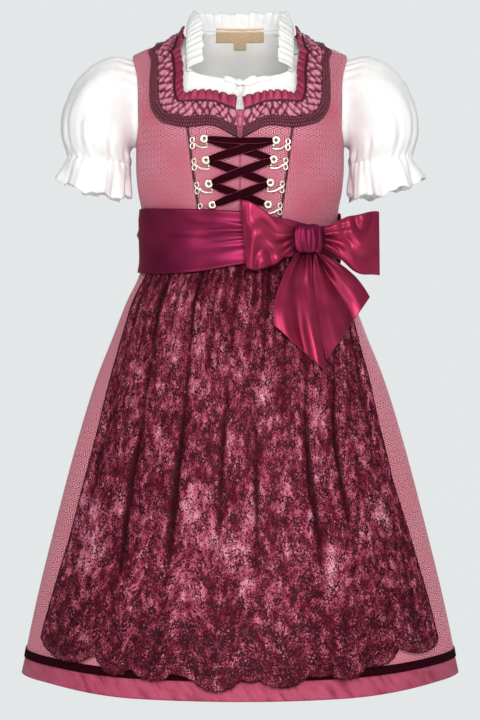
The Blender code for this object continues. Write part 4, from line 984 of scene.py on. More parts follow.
def blouseFrill():
    half = []
    for x, z, face, cx, cy, cz in frillStations:
        foot = onForm(angleOf(x, z, face), z, blouseFace(z) + 1.6)
        half.append(list(foot) + [cx, cy, cz])
    half = np.array(half)
    whole = np.concatenate([half * [-1, 1, 1, -1, 1, 1], half[-2::-1]])
    length = np.concatenate([[0], np.cumsum(np.linalg.norm(np.diff(whole, axis=0), axis=-1) / 1.4)])
    spread = np.linspace(0, length[-1], 420)
    line = np.stack([soften(np.interp(spread, length, column), 14) for column in whole.T], -1)
    foot, crest = line[:, :3], line[:, 3:]
    ahead = unit(np.gradient(foot, axis=0))
    normal = unit(np.cross(ahead, crest - foot))
    w = np.linspace(0, 1, 17)[None]
    phase = 2 * np.pi * spread / blouse["frillPitch"] + 2.2 * wander(spread, 22, 31)
    fold = np.sin(phase) + 0.4 * np.sin(2.1 * phase + 0.7)
    sway = 0.1 + 0.65 * w ** 1.2
    height = fold[:, None] * sway + 2.0 * wander(spread, 21, 32)[:, None] * w
    rise = (1 + 0.05 * np.sin(phase * 0.5)[:, None]) * w
    grid = foot[:, None] + (crest - foot)[:, None] * rise[..., None] + normal[:, None] * height[..., None]
    sideways = ease((np.abs(foot[:, 0]) - 40) / 16) * np.sign(foot[:, 0])
    grid[..., 0] += sideways[:, None] * 8.5 * np.sin(np.pi * w ** 0.62) ** 0.8
    return addCloth("frill_cloth", grid, cotton, 0.6)


frill = wear(blouseFrill(), "white_cotton", "blouse_frill")

sleeveRings = [  # under x, z, over x, z, half depth, gather
    (120.5, -142.9, 121.3, -42.4, 31.5, 0.3), (128, -143, 129.5, -40.5, 32.5, 0.8), (131, -146, 151, -34, 43, 0.8),
    (132, -149, 177, -46, 54, 0.9), (132, -152, 198, -69, 60, 0.9), (132, -155, 212, -101, 62, 1.1),
    (132, -158, 213, -129, 57, 1.8), (131.5, -165, 206, -154.5, 45, 1.6), (131, -170, 208, -159.5, 45, 2.0),
    (131.5, -203, 219, -180, 53, 3.2),
]


def sleeve(side):
    rows, columns = 72, 150
    table = smoothRows(sleeveRings, rows)
    down = np.linspace(0, 9, rows)[:, None]
    turn = np.linspace(0, 2 * np.pi, columns, endpoint=False)[None]
    under = np.stack([table[:, 0], 0 * table[:, 0], table[:, 1]], -1)
    over = np.stack([table[:, 2], 0 * table[:, 0], table[:, 3]], -1)
    centre, reach = (under + over) / 2, (over - under) / 2
    along, behindArm = unit(reach), np.array([0, 1.0, 0])
    ring = along[:, None] * np.cos(turn)[..., None] + behindArm * np.sin(turn)[..., None]
    grid = centre[:, None] + reach[:, None] * np.cos(turn)[..., None]
    grid = grid + behindArm * (table[:, 4:5] * np.sin(turn))[..., None]
    fine = np.sin(blouse["sleeveGathers"] * turn + 1.5 * np.sin(3 * turn + side))
    elastic = bump(down, 7.45, 0.55)
    head = bump(down, 0.9, 0.9) * ease(0.3 + np.cos(turn))
    frillPart = ease((down - 8.0) / 0.9)
    broad = np.sin(10 * turn + 1.1 * np.sin(2 * turn + side) + 0.4)
    drape = 1.1 * np.sin(5 * turn + 0.55 * down + 0.9 * side) + 0.7 * np.sin(9 * turn - 0.8 * down)
    pull = bump(down, 5.9, 1.2) * (1.2 * np.sin(13 * turn + 0.8) + 0.7 * np.sin(22 * turn))
    height = fine * (1.3 * elastic + head + 0.8 * frillPart) + 3.4 * broad * frillPart - 1.6 * elastic
    height = height + drape * bump(down, 3.8, 2.2) + pull
    grid = grid + ring * height[..., None]
    front, behind = blouse["sleeveDrop"]
    droop = frillPart * (front * np.clip(-np.sin(turn), 0, 1) ** 1.2 + behind * np.clip(np.sin(turn), 0, 1) ** 1.2)
    grid[..., 2] -= droop + 2.4 * frillPart * np.sin(7 * turn + 1.3 * side) + 1.2 * frillPart * np.sin(17 * turn)
    grid[..., 0] *= side
    piece = addCloth("sleeve_cloth_" + sideNames[side], grid, cotton, 0.8, closed=True, flip=side > 0)
    return wear(piece, "white_cotton", "sleeve_" + sideNames[side])


for side in sideNames:
    puff = sleeve(side)


def blouseTie():
    # small tied ribbon at the gathered neck, two loops and a knot; x, z, half height, half thickness
    rings = np.array([(-19, -69.8, 1.4, 0.6), (-16.5, -70.2, 3.2, 1.2), (-12, -71.4, 3.8, 1.6), (-8, -72.8, 3.4, 1.5),
                      (-4.6, -74.2, 2.3, 1.2), (-3, -74.8, 3.2, 1.9), (-0.6, -75.3, 3.8, 2.3), (1.8, -75.6, 3.2, 1.9),
                      (3.4, -75.4, 2.3, 1.3), (8, -74.6, 4.2, 1.8), (14, -73, 5.2, 2.2), (18, -72, 4.6, 1.8),
                      (20.5, -71.4, 2.8, 1.2), (25, -70.6, 3.6, 1.2), (31, -69.8, 3.2, 1.0), (36, -69.4, 1.4, 0.6)])
    rings = smoothRows(rings, 60)
    around = 28
    turn = np.linspace(0, 2 * np.pi, around, endpoint=False)
    grid = []
    for x, z, halfHeight, halfThick in rings:
        centre = onForm(angleOf(x, z), z, blouseFace(z) + halfThick + 0.6)
        crimp = 1 + 0.12 * np.sin(5 * turn + x * 0.4)
        ring = np.stack([0 * turn, halfThick * np.cos(turn) * crimp, halfHeight * np.sin(turn) * crimp], -1)
        grid.append(centre + ring)
    grid = np.array(grid)
    return addMesh("tie_ribbon", grid.reshape(-1, 3), cappedFaces(len(rings), around), cotton, flatPlaces(grid))


tie = wear(blouseTie(), "white_cotton", "blouse_tie")


def button():
    # four-hole pearl button with a raised rim
    profile = [(0, 0.9), (1.6, 0.9), (2.6, 1.0), (3.3, 1.7), (4.0, 1.9), (4.6, 1.4), (4.6, 0.3), (4.2, 0), (0, 0)]
    turn = np.linspace(0, 2 * np.pi, 36, endpoint=False)
    grid = np.array([[(r * np.cos(t), r * np.sin(t), h) for t in turn] for r, h in profile])
    a = float(angleOf(-4, -88))
    centre, normal = onForm(a, -88.0, blouseFace(-88.0) + 0.5), formNormal(a, -88.0)
    sideways = unit(np.cross([0, 0, 1.0], normal))
    upward = np.cross(normal, sideways)
    placed = centre + grid[..., :1] * sideways + grid[..., 1:2] * upward + grid[..., 2:] * normal
    return addMesh("pearl_button", placed.reshape(-1, 3), gridFaces(len(profile), 36, True), pearl)


wear(button(), "pearl_button", "blouse_button")


def labelPiece(name, half, top, bottom, out):
    # plain woven tape label, straight-edged, on the inner face of the back
    x, z = np.meshgrid(np.linspace(-half, half, 41), np.linspace(top, bottom, 17))
    level = z.copy()
    for _ in range(6):  # finds the form's level whose inner face lies at this height
        level += z - onForm(angleOf(x, level, 1), level, out)[..., 2]
    inner = onForm(angleOf(x, level, 1), level, out)
    grid = np.stack([x, inner[..., 1] - 0.15 * np.sin(x * 0.4), z], -1)
    return addCloth(name, grid[:, ::-1], labelWeave, 0.45)


inside = -8.0  # just behind the blouse's inner face
neckLabel = wear(labelPiece("label_plain", 29, 3.2, -12.4, inside), "beige_label", "neck_label")
sizeTab = wear(labelPiece("tab_plain", 7.4, -12.0, -20.5, inside - 1.0), "beige_label", "size_tab")
print("blouse made")


# apron

# how far round the apron reaches: height, left and right angle
apronRows = [(-270, -62, 66), (-296, -60, 64), (-335, -61.5, 62.5), (-397, -58.5, 58), (-475, -56.5, 55.4),
             (-538, -57, 55.5), (-618, -58.5, 58.8), (-681, -61, 60.5), (-724, -62.6, 62.2), (-765, -62.7, 62.8)]
# hemHalf is the form's half width at the hem; wide and long are the flat lace before it is gathered
apron = {"top": -270, "columns": 231, "rows": 131, "gathers": 34, "picot": 9.5, "hemHalf": 257, "wide": 600.0,
         "long": 480.0}
# where each deep fold lies: share across at the waist, halfway and at the hem, depth, half width
apronFolds = [
    (0.050, 0.045, 0.055, 0.7, 0.020), (0.112, 0.125, 0.135, 0.5, 0.016), (0.167, 0.191, 0.214, 1.0, 0.022),
    (0.245, 0.262, 0.272, 0.55, 0.016), (0.326, 0.331, 0.330, 1.0, 0.021), (0.405, 0.392, 0.380, 0.45, 0.015),
    (0.486, 0.456, 0.432, 0.8, 0.017), (0.548, 0.505, 0.475, 0.4, 0.013), (0.601, 0.550, 0.522, 0.85, 0.018),
    (0.680, 0.630, 0.604, 0.5, 0.016), (0.754, 0.704, 0.684, 1.0, 0.022), (0.842, 0.752, 0.728, 0.5, 0.013),
    (0.915, 0.799, 0.769, 0.9, 0.018), (0.955, 0.870, 0.855, 0.6, 0.017), (0.975, 0.947, 0.935, 0.7, 0.018),
]
# the scalloped lower edge: x, z
apronHemLine = [
    (-228, -722), (-222, -731), (-212, -739), (-200, -743.5), (-188, -744.5), (-176, -742), (-167, -737),
    (-161, -732), (-155, -742), (-147, -751), (-137.5, -754), (-128, -751.5), (-119.7, -744.4), (-113, -751),
    (-104, -756), (-93.5, -757.5), (-82, -755.5), (-73, -747.8), (-64, -750), (-50.7, -754.5), (-44, -761),
    (-36, -765.5), (-25, -767), (-14, -765), (-6, -761), (1, -753.5), (8, -756), (15, -757), (21.6, -753.2),
    (27, -758.5), (36, -762), (47, -763), (58, -761.5), (67, -757), (74.5, -750), (86, -752.5), (98.5, -751),
    (105, -754.5), (112, -756.5), (120, -757), (130, -754.5), (139.3, -745.8), (146, -746), (153.7, -746),
    (163, -744), (172, -738.5), (180.4, -728.2), (188, -733), (198, -736.5), (209, -737), (219, -734.5),
    (225, -730), (228.7, -724),
]
apronLobes = [-192, -137.5, -93.5, -58, -25, 10, 47, 86, 120, 157, 205]  # x of each scallop's middle


def apronHem(u):
    # the scalloped edge with its small picots
    x = apron["hemHalf"] * np.sin(np.radians(mix(apronRows[-1][1], apronRows[-1][2], u)))
    line = np.array(apronHemLine)
    fine = np.linspace(-232, 232, 930)
    level = soften(np.interp(fine, line[:, 0], line[:, 1]), 3)
    picots = 1.6 * np.abs(np.sin(np.pi * u * apron["wide"] / apron["picot"])) ** 0.7
    return np.interp(x, fine, level) + 3.6 + 1.2 * ease((x - 100) / 80) - picots


def apronLie(u, v):
    # angle, height, outward height and how deep in a fold, for shares across and down the apron
    u, v = np.broadcast_arrays(u, v)
    z = mix(apron["top"], apronHem(u), v)
    levels = np.array([-row[0] for row in apronRows])
    left = np.interp(-z, levels, [row[1] for row in apronRows])
    right = np.interp(-z, levels, [row[2] for row in apronRows])
    a = mix(left, right, u)
    dip = np.zeros_like(a)
    for top, middle, hem, depth, half in apronFolds:
        place = np.where(v < 0.5, mix(top, middle, ease(v * 2)), mix(middle, hem, ease(v * 2 - 1)))
        spread = half * (0.55 + 0.4 * v)
        far = 0.55 + 0.45 * ease(v * 5)
        depth = depth * (0.8 + 0.2 * np.sin(2 * np.pi * (1.7 * v + 7 * top)) - 0.28 * ease(v * 2 - 1))
        dip = np.maximum(dip, depth * far * np.exp(-np.abs((u - place) / spread) ** 1.6))
    fine = 0.5 + 0.5 * np.sin(2 * np.pi * apron["gathers"] * (u + 0.010 * np.sin(19 * u) + 0.012 * v))
    dip = np.clip(dip + fine * 0.42 * (1 - ease(v * 3.2)) * (1 - dip), 0, 1)
    belly = 0.35 * np.sin(2 * np.pi * (2.3 * v + 3.1 * u)) + 0.3 * np.sin(2 * np.pi * (5.2 * v - 4.4 * u))
    full = mix(3.6, 3.4, v) * (1 - dip) * (0.5 + 0.5 * ease(v * 12))
    return a, z, 2.5 + 1.6 * v + full + belly * 0.7 * ease(v * 4), dip


def apronSurface(u, v, lift=0.0):
    a, z, out, dip = apronLie(u, v)
    return onForm(a, z, out + lift), dip


# thin places where the lining shows, as seen from the front: x, z, half width, half height, strength
apronThin = [
    (-78, -310, 7, 22, 0.7), (-72, -340, 10, 26, 0.8), (-81, -389, 12, 22, 0.7), (-124, -417, 12, 26, 0.6),
    (-50, -386, 7, 18, 0.8), (-53, -426, 8, 20, 0.7), (-7, -408, 14, 18, 0.6), (26, -444, 10, 26, 0.9),
    (-13, -506, 9, 22, 0.7), (-93, -493, 9, 26, 0.6), (-179, -579, 10, 24, 0.9), (-182, -622, 14, 30, 0.9),
    (-56, -573, 14, 28, 1.0), (-32, -619, 20, 22, 1.0), (17, -585, 12, 34, 0.9), (54, -558, 8, 16, 0.8),
    (91, -469, 10, 34, 0.8), (91, -524, 9, 26, 0.7), (112, -646, 14, 34, 1.0), (164, -588, 16, 22, 0.7),
    (-114, -640, 9, 24, 0.6), (-68, -674, 16, 26, 0.8), (48, -677, 12, 26, 0.7), (11, -671, 16, 22, 0.5),
    (146, -506, 12, 20, 0.5), (5, -343, 8, 22, 0.5), (-145, -573, 8, 24, 0.6), (91, -585, 10, 26, 0.7),
    (54, -631, 8, 22, 0.7), (-1, -631, 16, 22, 0.7), (-30, -330, 6, 20, 0.5), (125, -430, 7, 24, 0.5),
]


def apronThinness(points):
    # drawn back to the plane of the table, along the line from the camera
    nearer = photoView["away"] / (photoView["away"] + points[..., 1])
    x, z = points[..., 0] * nearer, photoView["level"] + (points[..., 2] - photoView["level"]) * nearer
    found = np.zeros_like(x)
    for cx, cz, wide, high, strength in apronThin:
        found = np.maximum(found, strength * np.exp(-((x - cx) / wide) ** 2 - ((z - cz) / high) ** 2))
    return found


u, v = np.meshgrid(np.linspace(0, 1, apron["columns"]), np.linspace(0, 1, apron["rows"]) ** 0.96)
grid, dip = apronSurface(u, v)
# painted shade deep in the folds, and a painted shadow across the top, below the sash
shade = np.clip(1.25 * dip ** 1.8 + 0.2 * dip + 0.36 * (1 - ease((v - 0.02) * 6)), 0, 1)
places = np.stack([(u - 0.5) * apron["wide"], v * apron["long"]], -1)
net = wear(addCloth("lace_net", grid, laceGround, 0.6, cloth=places, shade=shade), "burgundy_lace", "apron")
thinness = np.asarray(apronThinness(grid), np.float32)
net.data.attributes.new("thin", "FLOAT", "POINT").data.foreach_set("value", thinness.ravel())


def leaf(cx, cy, turn, long, wide):
    # six-cornered leaf, as points around its edge
    along = np.array([0, 0.25, 0.6, 1, 0.6, 0.25]) * long
    aside = np.array([0, 0.42, 0.5, 0, -0.5, -0.42]) * wide
    return [(cx + p * math.cos(turn) - q * math.sin(turn), cy + p * math.sin(turn) + q * math.cos(turn))
            for p, q in zip(along, aside)]


def addPolygon(flat, faces, points):
    start = len(flat)
    flat.extend(points)
    faces.append(list(range(start, start + len(points))))


def addStrip(flat, faces, points, wide):
    # a flat cord along points
    points = np.asarray(points, float)
    ahead = unit(np.gradient(points, axis=0))
    across = np.stack([-ahead[:, 1], ahead[:, 0]], -1) * wide / 2
    start = len(flat)
    flat.extend(map(tuple, np.stack([points - across, points + across], 1).reshape(-1, 2)))
    for k in range(len(points) - 1):
        a = start + 2 * k
        faces.append([a, a + 1, a + 3, a + 2])


def curl(cx, cy, swing, step):
    # a line that starts beside a point and turns as its directions swing
    return np.cumsum(np.stack([np.cos(swing), np.sin(swing)], -1) * step, axis=0) + (cx, cy)


def ringOf(cx, cy, wide, high, t):
    return np.stack([cx + wide * np.cos(t), cy + high * np.sin(t)], -1)


def flower(flat, faces, cx, cy, petals, turn, heart, reach, wide):
    for k in range(petals):
        around = turn + 2 * math.pi * k / petals
        addPolygon(flat, faces, leaf(cx + heart * math.cos(around), cy + heart * math.sin(around), around, reach, wide))


# spacing, length and width of petals and leaves, width of the cord, small leaves in each gap
sprig = {"pitch": 21.0, "petal": (5.4, 2.9), "stemLeaf": (4.2, 2.1), "cord": 0.8, "filling": 9}


def laceMotifs():
    # flower sprigs with leaves and curling stems, drawn on the flat cloth
    flat, faces = [], []
    draw = np.random.default_rng(5)
    pitch = sprig["pitch"]
    wide, long = apron["wide"], apron["long"]
    for row in range(int(long / pitch * 1.12) + 1):
        for column in range(int(wide / pitch) + 1):
            cx = (column - wide / pitch / 2 + 0.5 * (row % 2)) * pitch + draw.uniform(-4, 4)
            cy = row * pitch * 0.87 + 6 + draw.uniform(-4, 4)
            middle, _ = apronSurface(np.clip(cx / wide + 0.5, 0, 1), np.clip(cy / long, 0, 1))
            bare = float(apronThinness(middle))
            turn, size = draw.uniform(0, 2 * math.pi), draw.uniform(0.7, 1.05)
            petals = int(draw.integers(5, 8))
            if draw.uniform() > bare * 1.1:
                reach, across = sprig["petal"]
                flower(flat, faces, cx, cy, petals, turn, 1.2, reach * size, across * size)
            lean = turn + draw.uniform(-0.6, 0.6)
            bend = draw.choice([-1, 1])
            swing = lean + bend * (0.4 + 2.6 * np.linspace(0, 1, 15))
            stem = curl(cx, cy, swing, 1.3 * size)
            addStrip(flat, faces, stem, sprig["cord"])
            for k in (3, 5, 7, 9, 11, 13):
                side = 1 if k % 4 == 1 else -1
                if draw.uniform() > bare * 0.8:
                    reach, across = sprig["stemLeaf"]
                    addPolygon(flat, faces, leaf(*stem[k], swing[k] + side * 0.9, reach * size, across * size))
            loopX, loopY = cx + pitch * 0.5 * math.cos(lean + 2), cy + pitch * 0.5 * math.sin(lean + 2)
            loop = ringOf(loopX, loopY, 2.6 * size, 2.0 * size, np.linspace(0, 2 * math.pi, 13))
            addStrip(flat, faces, loop, sprig["cord"])
            for _ in range(int(round(sprig["filling"] * (1 - 0.6 * bare)))):
                spot = cx + draw.uniform(-11, 11), cy + draw.uniform(-10, 10), draw.uniform(0, 6.3)
                addPolygon(flat, faces, leaf(*spot, draw.uniform(1.8, 3.2), draw.uniform(1.2, 2.0)))
    return np.array(flat), faces


def laceHemMotifs():
    # along the scallops: a dense band of scrolls, small rings on the edge and a flower over each scallop
    flat, faces = [], []
    draw = np.random.default_rng(8)
    picot, wide, long = apron["picot"], apron["wide"], apron["long"]
    t = np.linspace(0, 2 * math.pi, 17)
    for k in range(int(wide / picot)):
        cx = (k + 0.5) * picot - wide / 2
        for lift, size, shift in ((3.6, 3.2, 0), (10.0, 3.0, picot / 2)):
            addStrip(flat, faces, ringOf(cx + shift, long - lift, size, -size, t), 0.9)
            addPolygon(flat, faces, leaf(cx + shift - 1.2, long - lift, draw.uniform(-0.5, 0.5), 2.4, 1.6))
    for _ in range(420):
        cx, cy = draw.uniform(-wide / 2 + 4, wide / 2 - 4), long - draw.uniform(14, 62)
        swing = draw.uniform(0, 6.3) + draw.choice([-1, 1]) * np.linspace(0, 3.6, 12)
        addStrip(flat, faces, curl(cx, cy, swing, draw.uniform(0.7, 1.3)), 0.8)
    left, right = (math.radians(apronRows[-1][side]) for side in (1, 2))
    for x in apronLobes:
        cx = ((math.asin(x / apron["hemHalf"]) - left) / (right - left) - 0.5) * wide
        for cy, reach, petals in ((long - 50, 9.5, 9), (long - 26, 7.0, 7)):
            flower(flat, faces, cx, cy, petals, 0.2, 2.4, reach, reach * 0.36)
            addStrip(flat, faces, ringOf(cx, cy, 2.0, 2.0, t), 0.9)
        for lean in (-0.9, -0.45, 0.45, 0.9):
            swing = -math.pi / 2 + lean + np.sign(lean) * np.linspace(0, 1.6, 12)
            addStrip(flat, faces, curl(cx, long - 16, swing, 1.7), 1.0)
    return np.array(flat), faces


def laceOnApron(name, flat, faces, lift):
    # lays the flat drawing on the apron's folds, lift mm above the net, with the folds' depth as painted shade
    u, v = np.clip(flat[:, 0] / apron["wide"] + 0.5, 0.004, 0.996), np.clip(flat[:, 1] / apron["long"], 0.03, 0.998)
    points, dip = apronSurface(u, v, lift)
    return wear(addMesh(name, points, faces, laceCord, shade=dip), "burgundy_lace")


sprigs = laceOnApron("lace_sprigs", *laceMotifs(), 0.45)
palmettes = laceOnApron("lace_hem_palmettes", *laceHemMotifs(), 0.5)
edgeU = np.linspace(0, 1, 900)
edgeLine, _ = apronSurface(edgeU, np.full_like(edgeU, 0.999), 0.1)
inner, _ = apronSurface(edgeU[::2], np.full_like(edgeU[::2], 0.972), 0.3)
edgeCord = wear(addTubes("lace_edge_cord", [edgeLine, inner], 0.6, laceCord, sides=5), "burgundy_lace")
sideLines = []
sideV = np.linspace(0.02, 0.998, 160)
for sideU in (0.002, 0.998):
    sideLines.append(apronSurface(np.full_like(sideV, sideU), sideV, 0.3)[0])
selvedge = wear(addTubes("lace_selvedge", sideLines, 0.75, laceCord, sides=5), "burgundy_lace")
print("apron made")


# sash and bow

# upper and lower edge of the sash: angle, top, bottom
sashEdges = [(-180, -217.5, -290), (-120, -217.5, -291), (-92, -218, -294), (-60, -219, -300), (-40, -221, -302.5),
             (-20, -222.5, -301), (0, -225.5, -293), (22, -233, -284), (42, -241, -280), (56, -241, -280),
             (72, -233.5, -281), (90, -222.5, -285), (120, -218, -289), (180, -217.5, -290)]
sash = {"knotAngle": 12, "rows": 43}
# ridges that run from the side into the knot: share down far off and at the knot, height, half width, how far out
sashRidges = [(0.08, 0.27, 2.2, 0.06, 0.62), (0.40, 0.40, 2.6, 0.05, 0.68), (0.60, 0.53, 2.4, 0.05, 0.5),
              (0.80, 0.75, 2.4, 0.15, 0.85)]


def sashPiece(name, start, end, columns):
    # the band round the waist between two angles, drawn together in folds towards the knot
    a, down = np.meshgrid(np.linspace(start, end, columns), np.linspace(0, 1, sash["rows"]))
    lean = np.abs(a)
    near = np.where(lean < 110, np.clip(1 - np.abs(a - sash["knotAngle"]) / 75, 0, 1), 0)
    edges = np.array(sashEdges, float)
    fine = np.linspace(-180, 180, 721)
    turned = (a + 180) % 360 - 180
    top, bottom = (np.interp(turned, fine, soften(np.interp(fine, edges[:, 0], edges[:, k]), 9)) for k in (1, 2))
    overApron, overLacing = ease((88 - lean) / 14), ease((60 - lean) / 25)
    fold = np.zeros_like(a)
    for far, close, height, half, out in sashRidges:
        middle = mix(far, close, near) + 0.02 * np.sin(np.radians(a * 3 + far * 300))
        fold += height * ease((near - 1 + out) / out) * np.exp(-((down - middle) / half) ** 2)
    slack = 0.9 * np.sin(np.radians(a * 2.6 + 60)) * np.sin(np.pi * down * 2 + 0.6)
    # the band is pinched at both sides of the waist
    pinch = 3.0 * bump(turned, -90, 8) * bump(down, 0.36, 0.07) - 2.0 * bump(turned, 88, 6) * bump(down, 0.4, 0.15)
    pinch = pinch - 3.4 * bump(turned, -90, 16) * (ease(down * 2 - 0.9) + ease(1 - down * 6))
    crown = 1.6 * np.sin(np.pi * down) ** 0.5
    out = 4.2 + 3.0 * overApron + 2.2 * overLacing + crown + fold + slack * (1 - near) + pinch
    top = top - 6.0 * bump(turned, -92, 13)
    # painted shade: between the ridges near the knot, in a band on the left side of the waist, and along two thin
    # creases
    shade = np.clip(0.16 - fold / 3.4, 0, 1) * ease(near * 3) + 0.35 * bump(turned, -62, 20)
    shade = shade + 0.9 * bump(down, 0.42, 0.025) * ease(2 * near - 0.3)
    shade = shade + 0.7 * bump(down, 0.31, 0.02) * ease(2 * near - 0.5)
    shade = np.clip(shade, 0, 1)
    grid = onForm(a, mix(top, bottom, down), out)
    # the band takes the darker copy of the satin, painted shade
    return wear(addCloth(name, grid, shadedSatin, 1.1, shade=shade), "raspberry_satin")


leftSash = sashPiece("sash_satin_left", -90, 42, 131)
rightSash = sashPiece("sash_satin_right", 42.4, 89.6, 71)
backSash = sashPiece("sash_satin_back", 90, 269.6, 101)
for piece, node, long, under, area in ((leftSash, "sash_left", 0.24, "apron", None),
                                       (rightSash, "sash_right", 0.066, "apron", 0.0045),
                                       (backSash, "sash_back", 0.31, "skirt_back", None)):
    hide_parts(node)

# x, top, bottom, half depth
leftLoopRows = [(62.1, -247, -270, 2.2), (57.3, -245, -274, 5), (42, -238.5, -287.5, 9.5), (26.7, -227.5, -294.5, 13),
                (10.5, -215.5, -294.5, 12), (1, -217, -294, 2)]
rightLoopRows = [(96.8, -246, -268, 2.2), (108, -239.5, -272, 7), (118, -236, -281, 10), (130, -231.5, -293.5, 13),
                 (144, -227.5, -298, 13), (154, -226, -299, 9), (162.5, -225.5, -299.5, 2)]
bowCentre, bowSlope = np.array([79.5, -84.1, -257.5]), 0.36  # the bow lies along the waist, slanting back to the side
# folds of a loop: share down at the knot and at the far end, height, half width, how far out they reach
loopFolds = [(0.14, 0.02, 2.2, 0.05, 0.7), (0.36, 0.22, 4.2, 0.06, 0.8), (0.50, 0.42, -3.4, 0.05, 0.75),
             (0.62, 0.62, 4.4, 0.06, 0.85), (0.74, 0.78, -2.0, 0.05, 0.6), (0.88, 0.95, 2.4, 0.06, 0.8)]
# soft arcs in a loop: how far out, share down, width and height of the first arc, depth
leftArc, rightArc = (0.62, 1.0, 0.30, 0.55, 2.6), (0.72, 0.0, 0.26, 0.50, 2.8)


def bowLoop(name, rows, seed, firstArc):
    # a flattened ring of ribbon: out along the front layer, round the end and back behind
    table = np.array(rows, float)
    nearX, farX = table[0, 0], table[-1, 0]
    steps, columns = 101, 45
    s = np.linspace(0, 2, steps)
    reach = np.sin(np.pi * s / 2) ** 0.85
    share = np.abs(table[:, 0] - nearX) / abs(farX - nearX)
    fine = np.linspace(0, 1, 400)
    top, bottom, half = (soften(np.interp(fine, share, table[:, k]), 26) for k in (1, 2, 3))
    top, bottom = np.interp(reach, fine, top), np.interp(reach, fine, bottom)
    half = np.interp(reach, fine, half) * np.sqrt(np.clip(1 - reach ** 9, 0, 1))
    x = mix(nearX, farX, reach)
    down = np.linspace(0, 1, columns)
    layer = np.where(s <= 1, 1.0, -1.0)[:, None]
    near = (1 - reach)[:, None]
    plane = (bowCentre[1] + bowSlope * (x - bowCentre[0]))[:, None]
    belly = np.maximum(half - 2, 0)[:, None] * (0.55 + 0.45 * np.sin(np.pi * down))[None]
    belly = belly * np.where(layer > 0, 1.0, 0.4) + np.minimum(half, 2)[:, None]
    fold = 0
    for close, far, height, wide, out in loopFolds:
        middle = mix(far, close, near) + 0.02 * np.sin(seed + 9 * near)
        fade = ease((near - 1 + out) / out)
        fold = fold + height * fade * np.exp(-((down[None] - middle) / (wide * (1.5 - 0.6 * near))) ** 2)
    out, low, wide, high, deep = firstArc
    arc = np.hypot((reach[:, None] - out) / wide, (down[None] - low) / high)
    fold = fold + deep * np.sin(2.2 * np.pi * arc + 0.5) * np.exp(-(arc / 2.0) ** 2) * ease(4 * (1 - reach))[:, None]
    # painted shade: in the folds' hollows, near the knot and on the back layer
    shade = np.clip(0.05 - fold / 6.5, 0, 1) * (layer > 0) + 0.7 * ease((near - 0.78) / 0.2) + 0.5 * (layer < 0)
    fold = (fold - near) * np.where(near > 0.97, 0.3, 1) * (layer > 0)
    fold = fold + 0.6 * np.sin(7 * down + seed)[None] * near
    y = plane - layer * belly - fold
    z = mix(top[:, None], bottom[:, None], down[None]) + 0.8 * np.sin(4 * np.pi * reach[:, None] + seed)
    slant = (7.0 if farX < nearX else 0.8) * down[None] * reach[:, None] ** 3
    grid = np.stack([x[:, None] + slant, y, z], -1)
    shade = np.clip(np.broadcast_to(shade, y.shape), 0, 1)
    piece = addCloth(name, grid.transpose(1, 0, 2), satin, 0.9, shade=shade.T, flip=farX > nearX)
    hem = addTubes(name + "_hem", [grid[:, 0], grid[:, -1]], 0.55, satin, sides=6)
    return wear(piece, "raspberry_satin"), wear(hem, "raspberry_satin")


for name, node, rows, seed, firstArc in (("bow_loop_satin_left", "bow_loop_left", leftLoopRows, 1.0, leftArc),
                                         ("bow_loop_satin_right", "bow_loop_right", rightLoopRows, 2.6, rightArc)):
    loop, hem = bowLoop(name, rows, seed, firstArc)
    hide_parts(node)


knotSize = {"halfWidth": 17.6, "halfDepth": 11, "halfHeight": 16.5, "middle": -258.05}


def bowKnot():
    # ribbon wrapped round the middle, with creases that run up and down
    around = 120
    levels = np.linspace(-1, 1, 45)
    turn = np.linspace(0, 2 * np.pi, around, endpoint=False)[None]
    size = (np.clip(1 - np.abs(levels) ** 3.4 * 0.34, 0, 1))[:, None]
    bend = 0.5 * levels[:, None]
    ridge = 0.055 * np.cos(8 * turn + 0.9 * bend + np.pi) + 0.035 * np.cos(13 * turn - 1.6 * bend + 1)
    ridge = ridge + 0.03 * np.cos(21 * turn + 3.0 * bend)
    radius = size * (0.96 + ridge)
    x, y = knotSize["halfWidth"] * radius * np.cos(turn), knotSize["halfDepth"] * radius * np.sin(turn)
    z = knotSize["middle"] + knotSize["halfHeight"] * levels[:, None] + 0.5 * np.sin(5 * turn)
    grid = np.stack([bowCentre[0] + x, bowCentre[1] + bowSlope * x + y, z], -1)
    middle = grid.mean(1, keepdims=True)
    cap = [middle[:1] + (grid[:1] - middle[:1]) * k + [0, 0, -d] for k, d in ((0.55, -1.8), (0.8, -0.6))]
    foot = [middle[-1:] + (grid[-1:] - middle[-1:]) * k + [0, 0, -d] for k, d in ((0.8, 0.6), (0.55, 1.8))]
    grid = np.concatenate(cap + [grid] + foot)[::-1]
    faces = cappedFaces(len(grid), around)
    # the knot takes the darker copy of the satin, painted shade
    return addMesh("bow_knot_satin", grid.reshape(-1, 3), faces, shadedSatin, flatPlaces(grid))


knot = wear(bowKnot(), "raspberry_satin", "bow_knot")

# one edge x, y, z and the other edge x, y, z, from the knot down
leftTailRows = [(66, -86, -275, 83, -81, -275), (52, -103, -298, 85, -94, -308), (43, -117, -320, 90, -108, -343),
                (38, -126, -340, 95, -118, -379), (39, -131, -359, 100.7, -125, -414)]
rightTailRows = [(85, -81, -275.2, 93, -77, -275.2), (84, -88, -302, 119, -68, -288), (86, -99, -332, 136, -60, -302),
                 (91, -110, -364, 146, -56, -315), (99, -117, -398, 152, -56, -325)]


# folds across a tail, and for each tail: where its pit lies down and across, how far its inner edge turns back
tail = {"folds": 1.5, "pitDepth": 4.5, "pit": {-1: (0.34, 0.72), 1: (0.24, 0.42)}, "turned": {-1: 4.0, 1: -2.0}}


